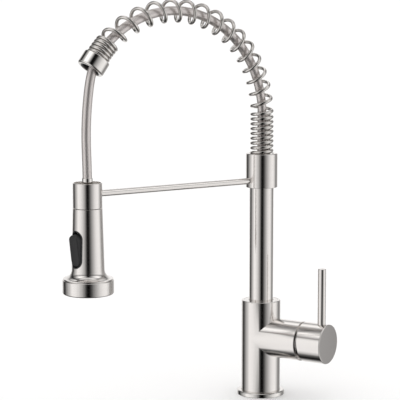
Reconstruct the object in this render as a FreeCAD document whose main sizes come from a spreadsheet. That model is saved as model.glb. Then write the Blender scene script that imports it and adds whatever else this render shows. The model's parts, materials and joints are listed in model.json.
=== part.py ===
import FreeCAD, Part
import math
import os
import Sketcher

# A single-handle kitchen faucet with a spring arch and a pull-down spray head.
# Millimetres. +Z is up, the origin is the centre of the base on the deck, and the handle points along +X.
# The spout's pieces are drawn with the spout along their own +X and turned by spout_azimuth about Z.
# The handle's pieces are drawn along their own +Z and laid over onto +X at arm_height.
# The spray head's pieces are drawn about the head's own axis, with the rocker on their own +X side.

Vector = FreeCAD.Vector
Rotation = FreeCAD.Rotation
Placement = FreeCAD.Placement

doc = FreeCAD.newDocument("PullDownFaucet")

# ---------------------------------------------------------------------------------------------
# Driving dimensions
# ---------------------------------------------------------------------------------------------

DIMENSIONS = [
    # clearances
    ("running_gap", 0.05), ("slip_gap", 0.1), ("free_gap", 0.3), ("sliding_face_gap", 0.05),
    # base and valve body
    ("ring_dia", 54), ("ring_height", 5.2), ("gasket_width", 2.4), ("gasket_thick", 1.5),
    ("body_dia", 44), ("body_height", 108.7), ("body_edge", 1.0),
    ("arm_height", 66.6), ("arm_dia", 44), ("arm_reach", 54.4),
    ("cavity_dia", 35.2), ("cavity_floor", 16), ("hose_passage_dia", 12.4),
    ("port_circle_dia", 25), ("port_spread", 20), ("port_bore_dia", 9.0), ("port_depth", 14),
    ("waterway_dia", 5.6), ("outlet_drop", 8), ("stud_bore_dia", 6.8), ("stud_depth", 16), ("stud_angle", 60),
    # swivel in the top of the body
    ("swivel_bore_dia", 33), ("swivel_floor", 88), ("gland_dia", 38), ("gland_thick", 4.7),
    ("o_ring_wire", 2.8), ("snap_ring_thick", 1.2), ("snap_groove_depth", 0.5), ("lower_bush_length", 5.9),
    # cartridge, measured along the arm from the column's axis
    ("seal_thick", 1.6), ("cartridge_base_thick", 4.4), ("fixed_disc_thick", 4), ("moving_disc_thick", 4),
    ("carrier_thick", 4), ("housing_dia", 34.6), ("housing_wall", 1.3), ("housing_shoulder", 48.5),
    ("housing_nose", 52), ("nose_dia", 27), ("rotor_dia", 24), ("rotor_neck_dia", 22), ("rotor_end", 53),
    ("disc_dia", 22), ("stem_pivot", 42), ("stem_ball_dia", 6), ("stem_ball_at", 32), ("stem_neck_dia", 4.8),
    ("stem_shaft_dia", 8.4), ("stem_square", 7.8), ("stem_square_from", 46), ("stem_end", 71),
    ("stem_pin_dia", 3), ("cartridge_nut_thick", 4.4),
    ("dome_dia", 39.6), ("dome_bore_dia", 27), ("dome_end", 59.2),
    # handle
    ("cap_dia", 44.2), ("cap_rear", 58.4), ("cap_face", 86.5), ("cap_slant", 5), ("cap_wall", 1.7),
    ("cap_floor", 72), ("cap_boss_dia", 18), ("cap_boss_from", 66.5), ("cap_edge", 0.8),
    ("lever_at", 78), ("lever_dia", 9), ("lever_top", 151.1), ("lever_seat", 10), ("lever_edge", 0.7),
    ("grub_screw_dia", 5), ("grub_screw_at", 70), ("plug_thick", 2.4),
    # column and upper collar
    ("spout_azimuth", 245.25), ("column_dia", 27), ("column_wall", 1.5), ("column_foot", 89),
    ("collar_dia", 35.5), ("collar_bottom", 237.3), ("collar_top", 275.6), ("collar_edge", 0.8),
    ("collar_web_from", 258), ("collar_web_thick", 4), ("spring_seat_dia", 26.8), ("guide_outer_dia", 18),
    ("guide_gap", 0.5), ("guide_flange_thick", 1.6), ("collar_screw_dia", 4), ("collar_screw_at", 247),
    # spring arch
    ("arch_radius", 117), ("arch_foot", 319), ("arch_end_angle", 53.5),
    ("spring_dia", 26.4), ("spring_wire", 3.9), ("spring_start", 265.75), ("spring_nut_depth", 7.9),
    ("tight_pitch", 5.4), ("open_pitch_first", 14), ("open_pitch_top", 19.5), ("closed_pitch", 4.0),
    ("open_from", 4), ("open_until", 131.5), ("closed_from", 134.5),
    # nut on the spring's end
    ("nut_dia", 30.2), ("nut_length", 15), ("nut_bore_dia", 26.6), ("nut_web_from", 10),
    ("nut_mouth_dia", 22.4),
    ("nut_bevel", 1.8), ("nut_liner_bore_dia", 19.2),
    # support rod and holder
    ("rod_dia", 7), ("rod_height", 245), ("rod_seat", 3.6), ("head_past_arch", 12.95),
    ("reach", "=arch_radius * (1 + sin(arch_end_angle * 1deg)) + head_past_arch"),
    ("holder_dia", 31.3), ("holder_bottom", 230.9), ("holder_top", 257.5), ("holder_bore_dia", 25),
    ("holder_recess_dia", 28.3), ("holder_recess_depth", 5.5), ("holder_edge", 0.4), ("liner_wall", 1.3),
    # hose
    ("hose_dia", 10), ("hose_bore_dia", 6.4), ("hose_foot", 16), ("hose_joint", 236.4),
    ("ferrule_wall", 0.7), ("ferrule_bottom", 237), ("ferrule_top", 262.5),
    ("stem_tail_dia", 6), ("stem_bore_dia", 4), ("tail_dia", 11.8), ("tail_foot", 0.5),
    ("tail_thread_dia", 6.8),
    ("tail_thread_depth", 8),
    # spray head
    ("head_turn", 10), ("head_top", 230.6), ("neck_dia", 21.8), ("neck_top", 247), ("neck_bore_dia", 12.4),
    ("head_top_dia", 31.6), ("head_waist_dia", 35.2), ("head_waist_at", 164), ("flare_radius", 9.5),
    ("flare_dia", 53.4), ("flare_at", 155.6), ("shell_wall", 2),
    ("face_dia", 55), ("face_top", 154.4), ("face_bottom", 138.5), ("face_round", 2.2), ("face_bevel", 1.6),
    ("face_wall", 2.5), ("face_top_thick", 2), ("insert_dia", 27), ("insert_foot", 149), ("insert_top", 212),
    ("inlet_dia", 18.8), ("inlet_bore_dia", 8), ("inlet_top", 219), ("washer_thick", 1.7),
    ("flange_dia", 17.6), ("flange_from", 221), ("flange_thick", 2.4), ("stem_dia", 10.4),
    ("swivel_nut_across", 22), ("swivel_nut_from", 212.5), ("swivel_nut_top", 226),
    ("plate_recess", 1.5), ("plate_thick", 3.2), ("mat_thick", 1.5), ("nozzle_bore_dia", 2.6),
    ("nozzle_dia", 2.2),
    ("nozzle_proud", 0.8), ("aerator_dia", 18.2), ("aerator_length", 7.6), ("screen_thick", 0.8),
    ("diffuser_from", 145), ("diffuser_thick", 4), ("diffuser_screw_circle", 40), ("diffuser_screw_dia", 2.8),
    ("seal_wire", 1.6),
    # rocker button and diverter
    ("rocker_centre", 187.6), ("opening_length", 40.7), ("opening_width", 17.4), ("bezel_wall", 1.2),
    ("bezel_proud", 0.3), ("bezel_back", 10.4), ("rocker_length", 35), ("rocker_shift", -0.9),
    ("rocker_gap", 0.45), ("rocker_proud", 4.6), ("rocker_pivot", 12.5), ("rocker_pin_dia", 2),
    ("rocker_back", 1.8), ("rocker_travel", 14),
    ("finger_dia", 2.4), ("finger_tip", 2.3), ("spool_dia", 6.4), ("spool_groove_dia", 4), ("spool_half", 11),
    ("spool_bore_half", 16), ("spool_groove_half", 1.5),
]

sizes = doc.addObject("Spreadsheet::Sheet", "Sizes")
for row, (alias, number) in enumerate(DIMENSIONS, start=1):
    sizes.set("A%d" % row, alias)
    sizes.set("B%d" % row, str(number))
    sizes.setAlias("B%d" % row, alias)
doc.recompute()


def bound(text):
    """The expression with each of the sheet's names written as Sizes.name."""
    words = []
    word = ""
    for letter in text + " ":
        if letter.isalnum() or letter in "_.":
            word += letter
            continue
        words.append("Sizes." + word if word in ALIASES else word)
        words.append(letter)
        word = ""
    return "".join(words).strip()


ALIASES = {alias for alias, number in DIMENSIONS}


def value(text):
    """The number that an expression of the sheet's names has now."""
    return float(sizes.evalExpression(bound(str(text))))


def bind(thing, **expressions):
    """Ties each named property of an object to an expression; Base_x and the like mean the placement."""
    for name, text in expressions.items():
        path = {"Base_x": "Placement.Base.x", "Base_y": "Placement.Base.y",
                "Base_z": "Placement.Base.z"}.get(name, name)
        thing.setExpression(path, bound(str(text)))


# ---------------------------------------------------------------------------------------------
# Ways of making a piece
# ---------------------------------------------------------------------------------------------

parts = []


def keep(thing, label):
    thing.Label = label
    parts.append(thing)
    return thing


def origin_feature(body, role):
    return next(item for item in body.Origin.OriginFeatures if item.Role == role)


def new_body(name):
    return doc.addObject("PartDesign::Body", name)


def arc_between(start, end, radius):
    """An arc from start to end, and its point order; a positive radius has its centre on the left."""
    middle = (start + end) * 0.5
    chord = end - start
    across = Vector(-chord.y, chord.x, 0).normalize()
    rise = math.sqrt(max(radius * radius - (chord.Length / 2) ** 2, 0))
    centre = middle + across * math.copysign(rise, radius)
    first, last = (start, end) if radius > 0 else (end, start)
    angles = [math.atan2(point.y - centre.y, point.x - centre.x) for point in (first, last)]
    if angles[1] < angles[0]:
        angles[1] += 2 * math.pi
    circle = Part.Circle(centre, Vector(0, 0, 1), abs(radius))
    return Part.ArcOfCircle(circle, angles[0], angles[1]), (1, 2) if radius > 0 else (2, 1)


def closed_sketch(body, name, outline, plane):
    """A closed outline of (across, up) expressions; a third item makes the next side an arc."""
    sketch = body.newObject("Sketcher::SketchObject", name)
    sketch.AttachmentSupport = [(origin_feature(body, plane), "")]
    sketch.MapMode = "FlatFace"
    corners = [Vector(value(point[0]), value(point[1]), 0) for point in outline]
    ends = []
    for index, point in enumerate(outline):
        start = corners[index]
        end = corners[(index + 1) % len(corners)]
        if len(point) == 3:
            arc, order = arc_between(start, end, value(point[2]))
            sketch.addGeometry(arc)
            ends.append(order)
        else:
            sketch.addGeometry(Part.LineSegment(start, end))
            ends.append((1, 2))
    for index in range(len(outline)):
        following = (index + 1) % len(outline)
        join = ("Coincident", index, ends[index][1], following, ends[following][0])
        sketch.addConstraint(Sketcher.Constraint(*join))
    for index, point in enumerate(outline):
        for kind, text in (("DistanceX", point[0]), ("DistanceY", point[1])):
            number = sketch.addConstraint(Sketcher.Constraint(kind, -1, 1, index, ends[index][0],
                    value(text)))
            sketch.setExpression("Constraints[%d]" % number, bound(str(text)))
        if len(point) == 3:
            number = sketch.addConstraint(Sketcher.Constraint("Radius", index, abs(value(point[2]))))
            sketch.setExpression("Constraints[%d]" % number, "abs(%s)" % bound(str(point[2])))
    return sketch


def turned(name, outline):
    """A body turned about its own Z from an outline of (radius, height) expressions."""
    body = new_body(name)
    sketch = closed_sketch(body, name + "_outline", outline, "XZ_Plane")
    turn = body.newObject("PartDesign::Revolution", name + "_turn")
    turn.Profile = sketch
    turn.ReferenceAxis = (sketch, ["V_Axis"])
    turn.Angle = 360
    return body


ALONG = {
    "X": Rotation(Vector(0, 1, 0), 90),
    "Y": Rotation(Vector(1, 0, 0), -90),
    "Z": Rotation(),
}


def round_feature(body, kind, name, dia, length, at, along="Z"):
    """An additive or subtractive cylinder that starts at the point `at` and runs along X, Y or Z."""
    feature = body.newObject("PartDesign::" + kind + "Cylinder", name)
    feature.Placement = Placement(Vector(), ALONG[along])
    bind(feature, Radius="(%s) / 2" % dia, Height=length, Base_x=at[0], Base_y=at[1], Base_z=at[2])
    return feature


def box_feature(body, kind, name, size, at):
    """An additive or subtractive box with its lowest corner at the point `at`."""
    feature = body.newObject("PartDesign::" + kind + "Box", name)
    bind(feature, Length=size[0], Width=size[1], Height=size[2], Base_x=at[0], Base_y=at[1], Base_z=at[2])
    return feature


def around(body, feature, count):
    """Repeats a feature evenly round the body's own Z."""
    pattern = body.newObject("PartDesign::PolarPattern", feature.Name + "_ring")
    pattern.Originals = [feature]
    pattern.Axis = (origin_feature(body, "Z_Axis"), [""])
    pattern.Angle = 360
    pattern.Occurrences = count
    body.Tip = pattern
    return pattern


def solid_box(name, size, at):
    box = doc.addObject("Part::Box", name)
    bind(box, Length=size[0], Width=size[1], Height=size[2], Base_x=at[0], Base_y=at[1], Base_z=at[2])
    return box


def solid_round(name, dia, length, at, along="Z"):
    cylinder = doc.addObject("Part::Cylinder", name)
    cylinder.Placement = Placement(Vector(), ALONG[along])
    bind(cylinder, Radius="(%s) / 2" % dia, Height=length, Base_x=at[0], Base_y=at[1], Base_z=at[2])
    return cylinder


def boolean(kind, name, base, tool):
    result = doc.addObject("Part::" + kind, name)
    result.Base = base
    result.Tool = tool
    return result


def fused(name, shapes):
    result = doc.addObject("Part::MultiFuse", name)
    result.Shapes = shapes
    return result


def ring(name, inner_dia, outer_dia, bottom, top):
    """A plain round ring or tube."""
    inner = "(%s) / 2" % inner_dia
    outer = "(%s) / 2" % outer_dia
    return turned(name, [(inner, bottom), (outer, bottom), (outer, top), (inner, top)])


# ---------------------------------------------------------------------------------------------
# Where the groups of pieces stand
# ---------------------------------------------------------------------------------------------

SPOUT_TURN = Placement(Vector(), Rotation(Vector(0, 0, 1), value("spout_azimuth")))
ARM_LAY = Rotation(Vector(0, 1, 0), 90)


def stand_in_spout(thing):
    thing.Placement = Placement(SPOUT_TURN)
    thing.setExpression("Placement.Rotation.Angle", bound("spout_azimuth"))


def stand_at_reach(thing, turn="0"):
    """Stands a piece on the spray head's axis, turned with the spout and then by `turn` about that axis."""
    angle = "spout_azimuth + " + turn
    thing.Placement = Placement(Vector(), Rotation(Vector(0, 0, 1), value(angle)))
    thing.setExpression("Placement.Rotation.Angle", bound(angle))
    bind(thing, Base_x="reach * cos(spout_azimuth)", Base_y="reach * sin(spout_azimuth)")


def lay_on_arm(thing):
    thing.Placement = Placement(Vector(0, 0, value("arm_height")), ARM_LAY)
    bind(thing, Base_z="arm_height")


def stand_at_arch_end(thing):
    """Points a piece's own Z along the hose where the spring arch ends."""
    end = math.radians(value("arch_end_angle"))
    radius = value("arch_radius")
    point = Vector(radius + radius * math.sin(end), 0, value("arch_foot") + radius * math.cos(end))
    lean = Rotation(Vector(0, 1, 0), 90 + value("arch_end_angle"))
    thing.Placement = SPOUT_TURN.multiply(Placement(point, lean))


# ---------------------------------------------------------------------------------------------
# Base and valve body
# ---------------------------------------------------------------------------------------------

def make_base():
    inner = "body_dia / 2 + running_gap"
    groove_in = "body_dia / 2 + 1.2"
    groove_out = groove_in + " + gasket_width"
    outline = [
        (inner, 0), (groove_in, 0), (groove_in, "gasket_thick"), (groove_out, "gasket_thick"),
        (groove_out, 0),
        ("ring_dia / 2 - 0.8", 0), ("ring_dia / 2", "0.8"), ("ring_dia / 2", "ring_height - 1.8", "1.8"),
        ("ring_dia / 2 - 1.8", "ring_height"), (inner, "ring_height"),
    ]
    keep(turned("base_ring", outline), "base_ring")
    gasket = [
        (groove_in + " + running_gap", 0), (groove_out + " - running_gap", 0),
        (groove_out + " - running_gap", "gasket_thick - running_gap"),
        (groove_in + " + running_gap", "gasket_thick - running_gap"),
    ]
    keep(turned("deck_gasket", gasket), "deck_gasket")


def make_valve_body():
    body = turned("valve_body", [
        (0, 0), ("body_dia / 2", 0), ("body_dia / 2", "body_height - body_edge"),
        ("body_dia / 2 - body_edge", "body_height"), (0, "body_height"),
    ])
    round_feature(body, "Additive", "side_arm", "arm_dia", "arm_reach", (0, 0, "arm_height"), "X")
    cavity_length = "arm_reach - cavity_floor + 1"
    round_feature(body, "Subtractive", "cartridge_cavity", "cavity_dia", cavity_length,
                  ("cavity_floor", 0, "arm_height"), "X")
    round_feature(body, "Subtractive", "hose_passage", "hose_passage_dia", "body_height + 2", (0, 0, -1))
    round_feature(body, "Subtractive", "swivel_bore", "swivel_bore_dia", "body_height",
                  (0, 0, "swivel_floor"))
    round_feature(body, "Subtractive", "gland_seat", "gland_dia", "body_height",
                  (0, 0, "body_height - gland_thick"))
    # hot and cold ports stand behind the hose passage, the mixed outlet in front of it
    port_back = "-sqrt(port_circle_dia * port_circle_dia - port_spread * port_spread) / 2"
    for side, name in ((1, "hot"), (-1, "cold")):
        across = "%d * port_spread / 2" % side
        round_feature(body, "Subtractive", name + "_port", "port_bore_dia", "port_depth + 1",
                      (port_back, across, -1))
        round_feature(body, "Subtractive", name + "_riser", "waterway_dia", "arm_height + waterway_dia / 2",
                      (port_back, across, 0))
        round_feature(body, "Subtractive", name + "_cross", "waterway_dia",
                      "cavity_floor + 1 - (%s)" % port_back,
                      (port_back, across, "arm_height"), "X")
        stud_x = "port_circle_dia / 2 * cos(stud_angle)"
        stud_y = "%d * port_circle_dia / 2 * sin(stud_angle)" % side
        round_feature(body, "Subtractive", name + "_stud_hole", "stud_bore_dia", "stud_depth + 1",
                      (stud_x, stud_y, -1))
    outlet_x = "port_circle_dia / 2"
    outlet_z = "arm_height - outlet_drop"
    round_feature(body, "Subtractive", "mixed_port", "port_bore_dia", "port_depth + 1", (outlet_x, 0, -1))
    round_feature(body, "Subtractive", "mixed_riser", "waterway_dia", outlet_z + " + waterway_dia / 2",
                  (outlet_x, 0, 0))
    round_feature(body, "Subtractive", "mixed_cross", "waterway_dia", "cavity_floor + 1 - " + outlet_x,
                  (outlet_x, 0, outlet_z), "X")
    keep(body, "valve_body")


def make_swivel():
    journal = "column_dia / 2 + running_gap"
    wall = "swivel_bore_dia / 2 - running_gap"
    bush_foot = "column_foot + 1 + snap_ring_thick + 0.4"
    bush_top = bush_foot + " + lower_bush_length"
    gland_foot = "body_height - gland_thick"
    lower = [(journal, bush_foot), (wall, bush_foot), (wall, bush_top), (journal, bush_top)]
    keep(turned("lower_swivel_bush", lower), "lower_swivel_bush")
    ring_middle = bush_top + " + o_ring_wire / 2 + slip_gap"
    seal = doc.addObject("Part::Torus", "swivel_o_ring")
    bind(seal, Radius1="column_dia / 2 + running_gap + o_ring_wire / 2", Radius2="o_ring_wire / 2",
         Base_z=ring_middle)
    keep(seal, "swivel_o_ring")
    upper_foot = bush_top + " + o_ring_wire + 2 * slip_gap"
    upper = [(journal, upper_foot), (wall, upper_foot), (wall, gland_foot), (journal, gland_foot)]
    keep(turned("upper_swivel_bush", upper), "upper_swivel_bush")
    gland_in = "column_dia / 2 + free_gap"
    gland_out = "gland_dia / 2 - running_gap"
    gland = [(gland_in, gland_foot), (gland_out, gland_foot), (gland_out, "body_height"),
             (gland_in, "body_height")]
    keep(turned("gland_ring", gland), "gland_ring")
    snap_foot = "column_foot + 1 + running_gap / 2"
    snap_in = "column_dia / 2 - snap_groove_depth + running_gap"
    snap_out = "swivel_bore_dia / 2 - 0.6"
    snap = turned("snap_ring", [
        (snap_in, snap_foot), (snap_out, snap_foot),
        (snap_out, snap_foot + " + snap_ring_thick - running_gap"),
        (snap_in, snap_foot + " + snap_ring_thick - running_gap"),
    ])
    box_feature(snap, "Subtractive", "snap_gap", ("swivel_bore_dia", 5, "snap_ring_thick + 2"),
                (0, -2.5, "column_foot"))
    keep(snap, "snap_ring")
    stand_in_spout(snap)


# ---------------------------------------------------------------------------------------------
# Cartridge in the side arm
# ---------------------------------------------------------------------------------------------

SEAL_TOP = "cavity_floor + seal_thick"
BASE_TOP = SEAL_TOP + " + cartridge_base_thick"
FIXED_TOP = BASE_TOP + " + fixed_disc_thick"
MOVING_FOOT = FIXED_TOP + " + sliding_face_gap"
MOVING_TOP = MOVING_FOOT + " + moving_disc_thick"
CARRIER_TOP = MOVING_TOP + " + carrier_thick"


def pierce_waterways(body, foot, length):
    """The two inlets and the outlet through a cartridge piece. Own X points down once it lies on the arm."""
    for side, name in ((1, "hot"), (-1, "cold")):
        round_feature(body, "Subtractive", body.Name + "_" + name, "waterway_dia", length,
                      (0, "%d * port_spread / 2" % side, foot))
    round_feature(body, "Subtractive", body.Name + "_outlet", "waterway_dia", length,
                  ("outlet_drop", 0, foot))


def make_cartridge():
    seals = []
    seal_spots = [(0, "port_spread / 2"), (0, "-port_spread / 2"), ("outlet_drop", "0")]
    for number, (down, across) in enumerate(seal_spots):
        at = (down, across, "cavity_floor")
        rim = solid_round("seal_rim_%d" % number, "waterway_dia + 2.8", "seal_thick", at)
        hole = solid_round("seal_hole_%d" % number, "waterway_dia + slip_gap", "seal_thick", at)
        seals.append(boolean("Cut", "seal_%d" % number, rim, hole))
    group = doc.addObject("Part::Compound", "cartridge_seals")
    group.Links = seals
    lay_on_arm(keep(group, "cartridge_seals"))

    base = ring("cartridge_base", "0", "housing_dia - slip_gap", SEAL_TOP, BASE_TOP)
    pierce_waterways(base, SEAL_TOP, "cartridge_base_thick")
    lay_on_arm(keep(base, "cartridge_base"))

    bore = "housing_dia / 2 - housing_wall"
    fixed = ring("fixed_ceramic_disc", "0", "housing_dia - 2 * housing_wall - slip_gap", BASE_TOP, FIXED_TOP)
    pierce_waterways(fixed, BASE_TOP, "fixed_disc_thick")
    lay_on_arm(keep(fixed, "fixed_ceramic_disc"))

    moving = turned("moving_ceramic_disc", [
        (0, MOVING_FOOT), ("disc_dia / 2 - 0.5", MOVING_FOOT), ("disc_dia / 2", MOVING_FOOT + " + 0.5"),
        ("disc_dia / 2", MOVING_TOP), (0, MOVING_TOP),
    ])
    box_feature(moving, "Subtractive", "mixing_chamber",
                ("disc_dia / 2", "disc_dia / 2", "moving_disc_thick / 2"),
                ("-disc_dia / 4", "-disc_dia / 4", MOVING_FOOT))
    ball_room = "stem_ball_dia + 2 * (slip_gap + running_gap)"
    round_feature(moving, "Subtractive", "ball_pocket", ball_room, "2", (0, 0, MOVING_TOP + " - 1.5"))
    lay_on_arm(keep(moving, "moving_ceramic_disc"))

    carrier_bore = "stem_ball_dia / 2 + slip_gap + running_gap"
    carrier = turned("disc_carrier", [
        (carrier_bore, MOVING_TOP), ("disc_dia / 2", MOVING_TOP), ("disc_dia / 2", CARRIER_TOP),
        (carrier_bore + " + 1.5", CARRIER_TOP), (carrier_bore, CARRIER_TOP + " - 2"),
    ])
    lay_on_arm(keep(carrier, "disc_carrier"))

    rotor_foot = CARRIER_TOP + " + free_gap"
    rotor_shoulder = "housing_shoulder - 1.5"
    rotor = turned("cartridge_rotor", [
        (0, rotor_foot), ("rotor_dia / 2", rotor_foot), ("rotor_dia / 2", rotor_shoulder),
        ("rotor_neck_dia / 2", rotor_shoulder), ("rotor_neck_dia / 2", "rotor_end"), (0, "rotor_end"),
    ])
    box_feature(rotor, "Subtractive", "stem_window", (18, "stem_square + 1.8", "rotor_end"),
                (-8.2, "-(stem_square + 1.8) / 2", "stem_ball_at"))
    round_feature(rotor, "Subtractive", "pin_hole", "stem_pin_dia + slip_gap", "rotor_dia + 2",
                  (0, "-rotor_dia / 2 - 1", "stem_pivot"), "Y")
    lay_on_arm(keep(rotor, "cartridge_rotor"))

    pin = solid_round("stem_pin", "stem_pin_dia", "rotor_dia - 2", (0, "-rotor_dia / 2 + 1", 0), "Y")
    keep(pin, "stem_pin")
    bind(pin, Base_x="stem_pivot", Base_z="arm_height")

    nose_bore = "rotor_neck_dia / 2 + slip_gap"
    front = "housing_shoulder - 1.3"
    housing = turned("cartridge_housing", [
        (bore, BASE_TOP), ("housing_dia / 2", BASE_TOP), ("housing_dia / 2", "housing_shoulder"),
        ("nose_dia / 2", "housing_shoulder"), ("nose_dia / 2", "housing_nose"), (nose_bore, "housing_nose"),
        (nose_bore, front), (bore, front),
    ])
    lay_on_arm(keep(housing, "cartridge_housing"))

    nut_in = "nose_dia / 2 + free_gap"
    nut_out = "cavity_dia / 2 - running_gap"
    nut_foot = "housing_shoulder + running_gap"
    nut_top = nut_foot + " + cartridge_nut_thick"
    nut = turned("cartridge_nut", [(nut_in, nut_foot), (nut_out, nut_foot), (nut_out, nut_top),
                                   (nut_in, nut_top)])
    notch = box_feature(nut, "Subtractive", "wrench_notch", (6, 4, 2),
                        (nut_in + " - 1", -2, nut_top + " - 2"))
    around(nut, notch, 4)
    lay_on_arm(keep(nut, "cartridge_nut"))

    spigot = "cavity_dia / 2 - slip_gap"
    spigot_foot = nut_top + " + slip_gap"
    rest = "arm_reach + running_gap"
    dome = turned("trim_dome", [
        ("dome_bore_dia / 2", spigot_foot), (spigot, spigot_foot), (spigot, rest), ("dome_dia / 2", rest),
        ("dome_dia / 2", "arm_reach + 1.3", "7.5"), ("dome_bore_dia / 2 + 1", "dome_end"),
        ("dome_bore_dia / 2", "dome_end"),
    ])
    lay_on_arm(keep(dome, "trim_dome"))


def make_stem():
    ball = "stem_ball_dia / 2"
    neck = "stem_neck_dia / 2"
    neck_from = "stem_ball_at + sqrt(stem_ball_dia * stem_ball_dia - stem_neck_dia * stem_neck_dia) / 2"
    shaft = "stem_shaft_dia / 2"
    stem = turned("handle_stem", [
        (0, "stem_ball_at - stem_ball_dia / 2", ball), (neck, neck_from), (neck, "stem_pivot - 4.5"),
        (shaft, "stem_pivot - 3"), (shaft, "stem_square_from + 1"), (0, "stem_square_from + 1"),
    ])
    box_feature(stem, "Additive", "square_end", ("stem_square", "stem_square", "stem_end - stem_square_from"),
                ("-stem_square / 2", "-stem_square / 2", "stem_square_from"))
    round_feature(stem, "Subtractive", "pivot_hole", "stem_pin_dia + 2 * running_gap", "stem_shaft_dia + 2",
                  (0, "-stem_shaft_dia / 2 - 1", "stem_pivot"), "Y")
    lay_on_arm(keep(stem, "handle_stem"))


# ---------------------------------------------------------------------------------------------
# Handle
# ---------------------------------------------------------------------------------------------

def make_handle():
    outer = "cap_dia / 2"
    hollow = "cap_dia / 2 - cap_wall"
    boss = "cap_boss_dia / 2"
    socket = "stem_square + 2 * slip_gap"
    rear = "cap_rear - 4"
    cap = turned("handle_cap", [
        (hollow, rear), (outer, rear), (outer, "cap_face - cap_edge"), (outer + " - cap_edge", "cap_face"),
        (0, "cap_face"), (0, "cap_boss_from"), (boss, "cap_boss_from"), (boss, "cap_floor"),
        (hollow, "cap_floor"),
    ])
    box_feature(cap, "Subtractive", "stem_socket",
                (socket, socket, "stem_end + slip_gap - cap_boss_from + 1"),
                ("-(%s) / 2" % socket, "-(%s) / 2" % socket, "cap_boss_from - 1"))
    round_feature(cap, "Subtractive", "lever_hole", "lever_dia + 2 * running_gap", "cap_dia / 2 - lever_seat",
                  ("-cap_dia / 2", 0, "lever_at"), "X")
    round_feature(cap, "Subtractive", "grub_hole", "grub_screw_dia + 2 * running_gap",
                  "cap_dia / 2 - stem_square / 2",
                  ("stem_square / 2", 0, "grub_screw_at"), "X")
    # the rear rim is cut on a slant, closest to the arm at the top, so that the cap can tilt
    slice_off = cap.newObject("PartDesign::SubtractiveBox", "rear_slant")
    lean = Rotation(Vector(0, 1, 0), -value("cap_slant"))
    half = value("cap_dia")
    corner = Vector(0, 0, value("cap_rear")) + lean.multVec(Vector(-half, -half, -12))
    slice_off.Placement = Placement(corner, lean)
    bind(slice_off, Length="2 * cap_dia", Width="2 * cap_dia", Height="12")
    lay_on_arm(keep(cap, "handle_cap"))

    lever = turned("lever_rod", [
        (0, "arm_height + lever_seat"), ("lever_dia / 2", "arm_height + lever_seat"),
        ("lever_dia / 2", "lever_top - lever_edge"), ("lever_dia / 2 - lever_edge", "lever_top"),
        (0, "lever_top"),
    ])
    keep(lever, "lever_rod")
    bind(lever, Base_x="lever_at")

    screw_foot = "stem_square / 2 + running_gap"
    screw = turned("handle_set_screw", [
        (0, screw_foot), ("grub_screw_dia / 2 - 0.6", screw_foot),
        ("grub_screw_dia / 2", screw_foot + " + 0.6"),
        ("grub_screw_dia / 2", screw_foot + " + 5"), (0, screw_foot + " + 5"),
    ])
    keep(screw, "handle_set_screw")
    screw.Placement = Placement(Vector(), Rotation(Vector(1, 0, 0), 180))
    bind(screw, Base_x="grub_screw_at", Base_z="arm_height")

    plug = turned("screw_plug", [
        (0, "cap_dia / 2 - plug_thick"), ("grub_screw_dia / 2", "cap_dia / 2 - plug_thick"),
        ("grub_screw_dia / 2", "cap_dia / 2 - 0.15"), (0, "cap_dia / 2 - 0.15"),
    ])
    keep(plug, "screw_plug")
    plug.Placement = Placement(Vector(), Rotation(Vector(1, 0, 0), 180))
    bind(plug, Base_x="grub_screw_at", Base_z="arm_height")


# ---------------------------------------------------------------------------------------------
# Column, collar, rod and holder
# ---------------------------------------------------------------------------------------------

def make_column():
    outer = "column_dia / 2"
    inner = "column_dia / 2 - column_wall"
    groove = "column_dia / 2 - snap_groove_depth"
    tube = turned("column_tube", [
        (inner, "column_foot"), (outer, "column_foot"), (outer, "column_foot + 1"),
        (groove, "column_foot + 1"),
        (groove, "column_foot + 1 + snap_ring_thick"), (outer, "column_foot + 1 + snap_ring_thick"),
        (outer, "collar_web_from"), (inner, "collar_web_from"),
    ])
    stand_in_spout(keep(tube, "column_tube"))

    socket = "column_dia / 2 + running_gap"
    web_top = "collar_web_from + collar_web_thick"
    collar = turned("collar", [
        (socket, "collar_bottom"), ("collar_dia / 2 - collar_edge / 2", "collar_bottom"),
        ("collar_dia / 2", "collar_bottom + collar_edge / 2"), ("collar_dia / 2", "collar_top - collar_edge"),
        ("collar_dia / 2 - collar_edge", "collar_top"), ("spring_seat_dia / 2", "collar_top"),
        ("spring_seat_dia / 2", web_top), ("guide_outer_dia / 2 + running_gap", web_top),
        ("guide_outer_dia / 2 + running_gap", "collar_web_from"), (socket, "collar_web_from"),
    ])
    seat_from = "collar_dia / 2 - rod_seat"
    round_feature(collar, "Subtractive", "rod_seat_hole", "rod_dia + 2 * running_gap", "rod_seat + 1",
                  (seat_from, 0, "rod_height"), "X")
    round_feature(collar, "Subtractive", "screw_hole", "collar_screw_dia + 2 * running_gap",
                  "collar_dia / 2 - column_dia / 2", ("-collar_dia / 2", 0, "collar_screw_at"), "X")
    stand_in_spout(keep(collar, "collar"))

    screw = solid_round("collar_screw_bar", "collar_screw_dia", "(collar_dia - column_dia) / 2 - 0.6",
                        ("-collar_dia / 2 + 0.5", 0, "collar_screw_at"), "X")
    holder = doc.addObject("Part::Compound", "collar_screw_piece")
    holder.Links = [screw]
    stand_in_spout(keep(holder, "collar_screw"))

    guide = turned("hose_guide_bush", [
        ("hose_dia / 2 + guide_gap", "collar_web_from"), ("guide_outer_dia / 2", "collar_web_from"),
        ("guide_outer_dia / 2", web_top), ("spring_seat_dia / 2 - slip_gap", web_top),
        ("spring_seat_dia / 2 - slip_gap", web_top + " + guide_flange_thick"),
        ("hose_dia / 2 + guide_gap", web_top + " + guide_flange_thick"),
    ])
    stand_in_spout(keep(guide, "hose_guide_bush"))


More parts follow.
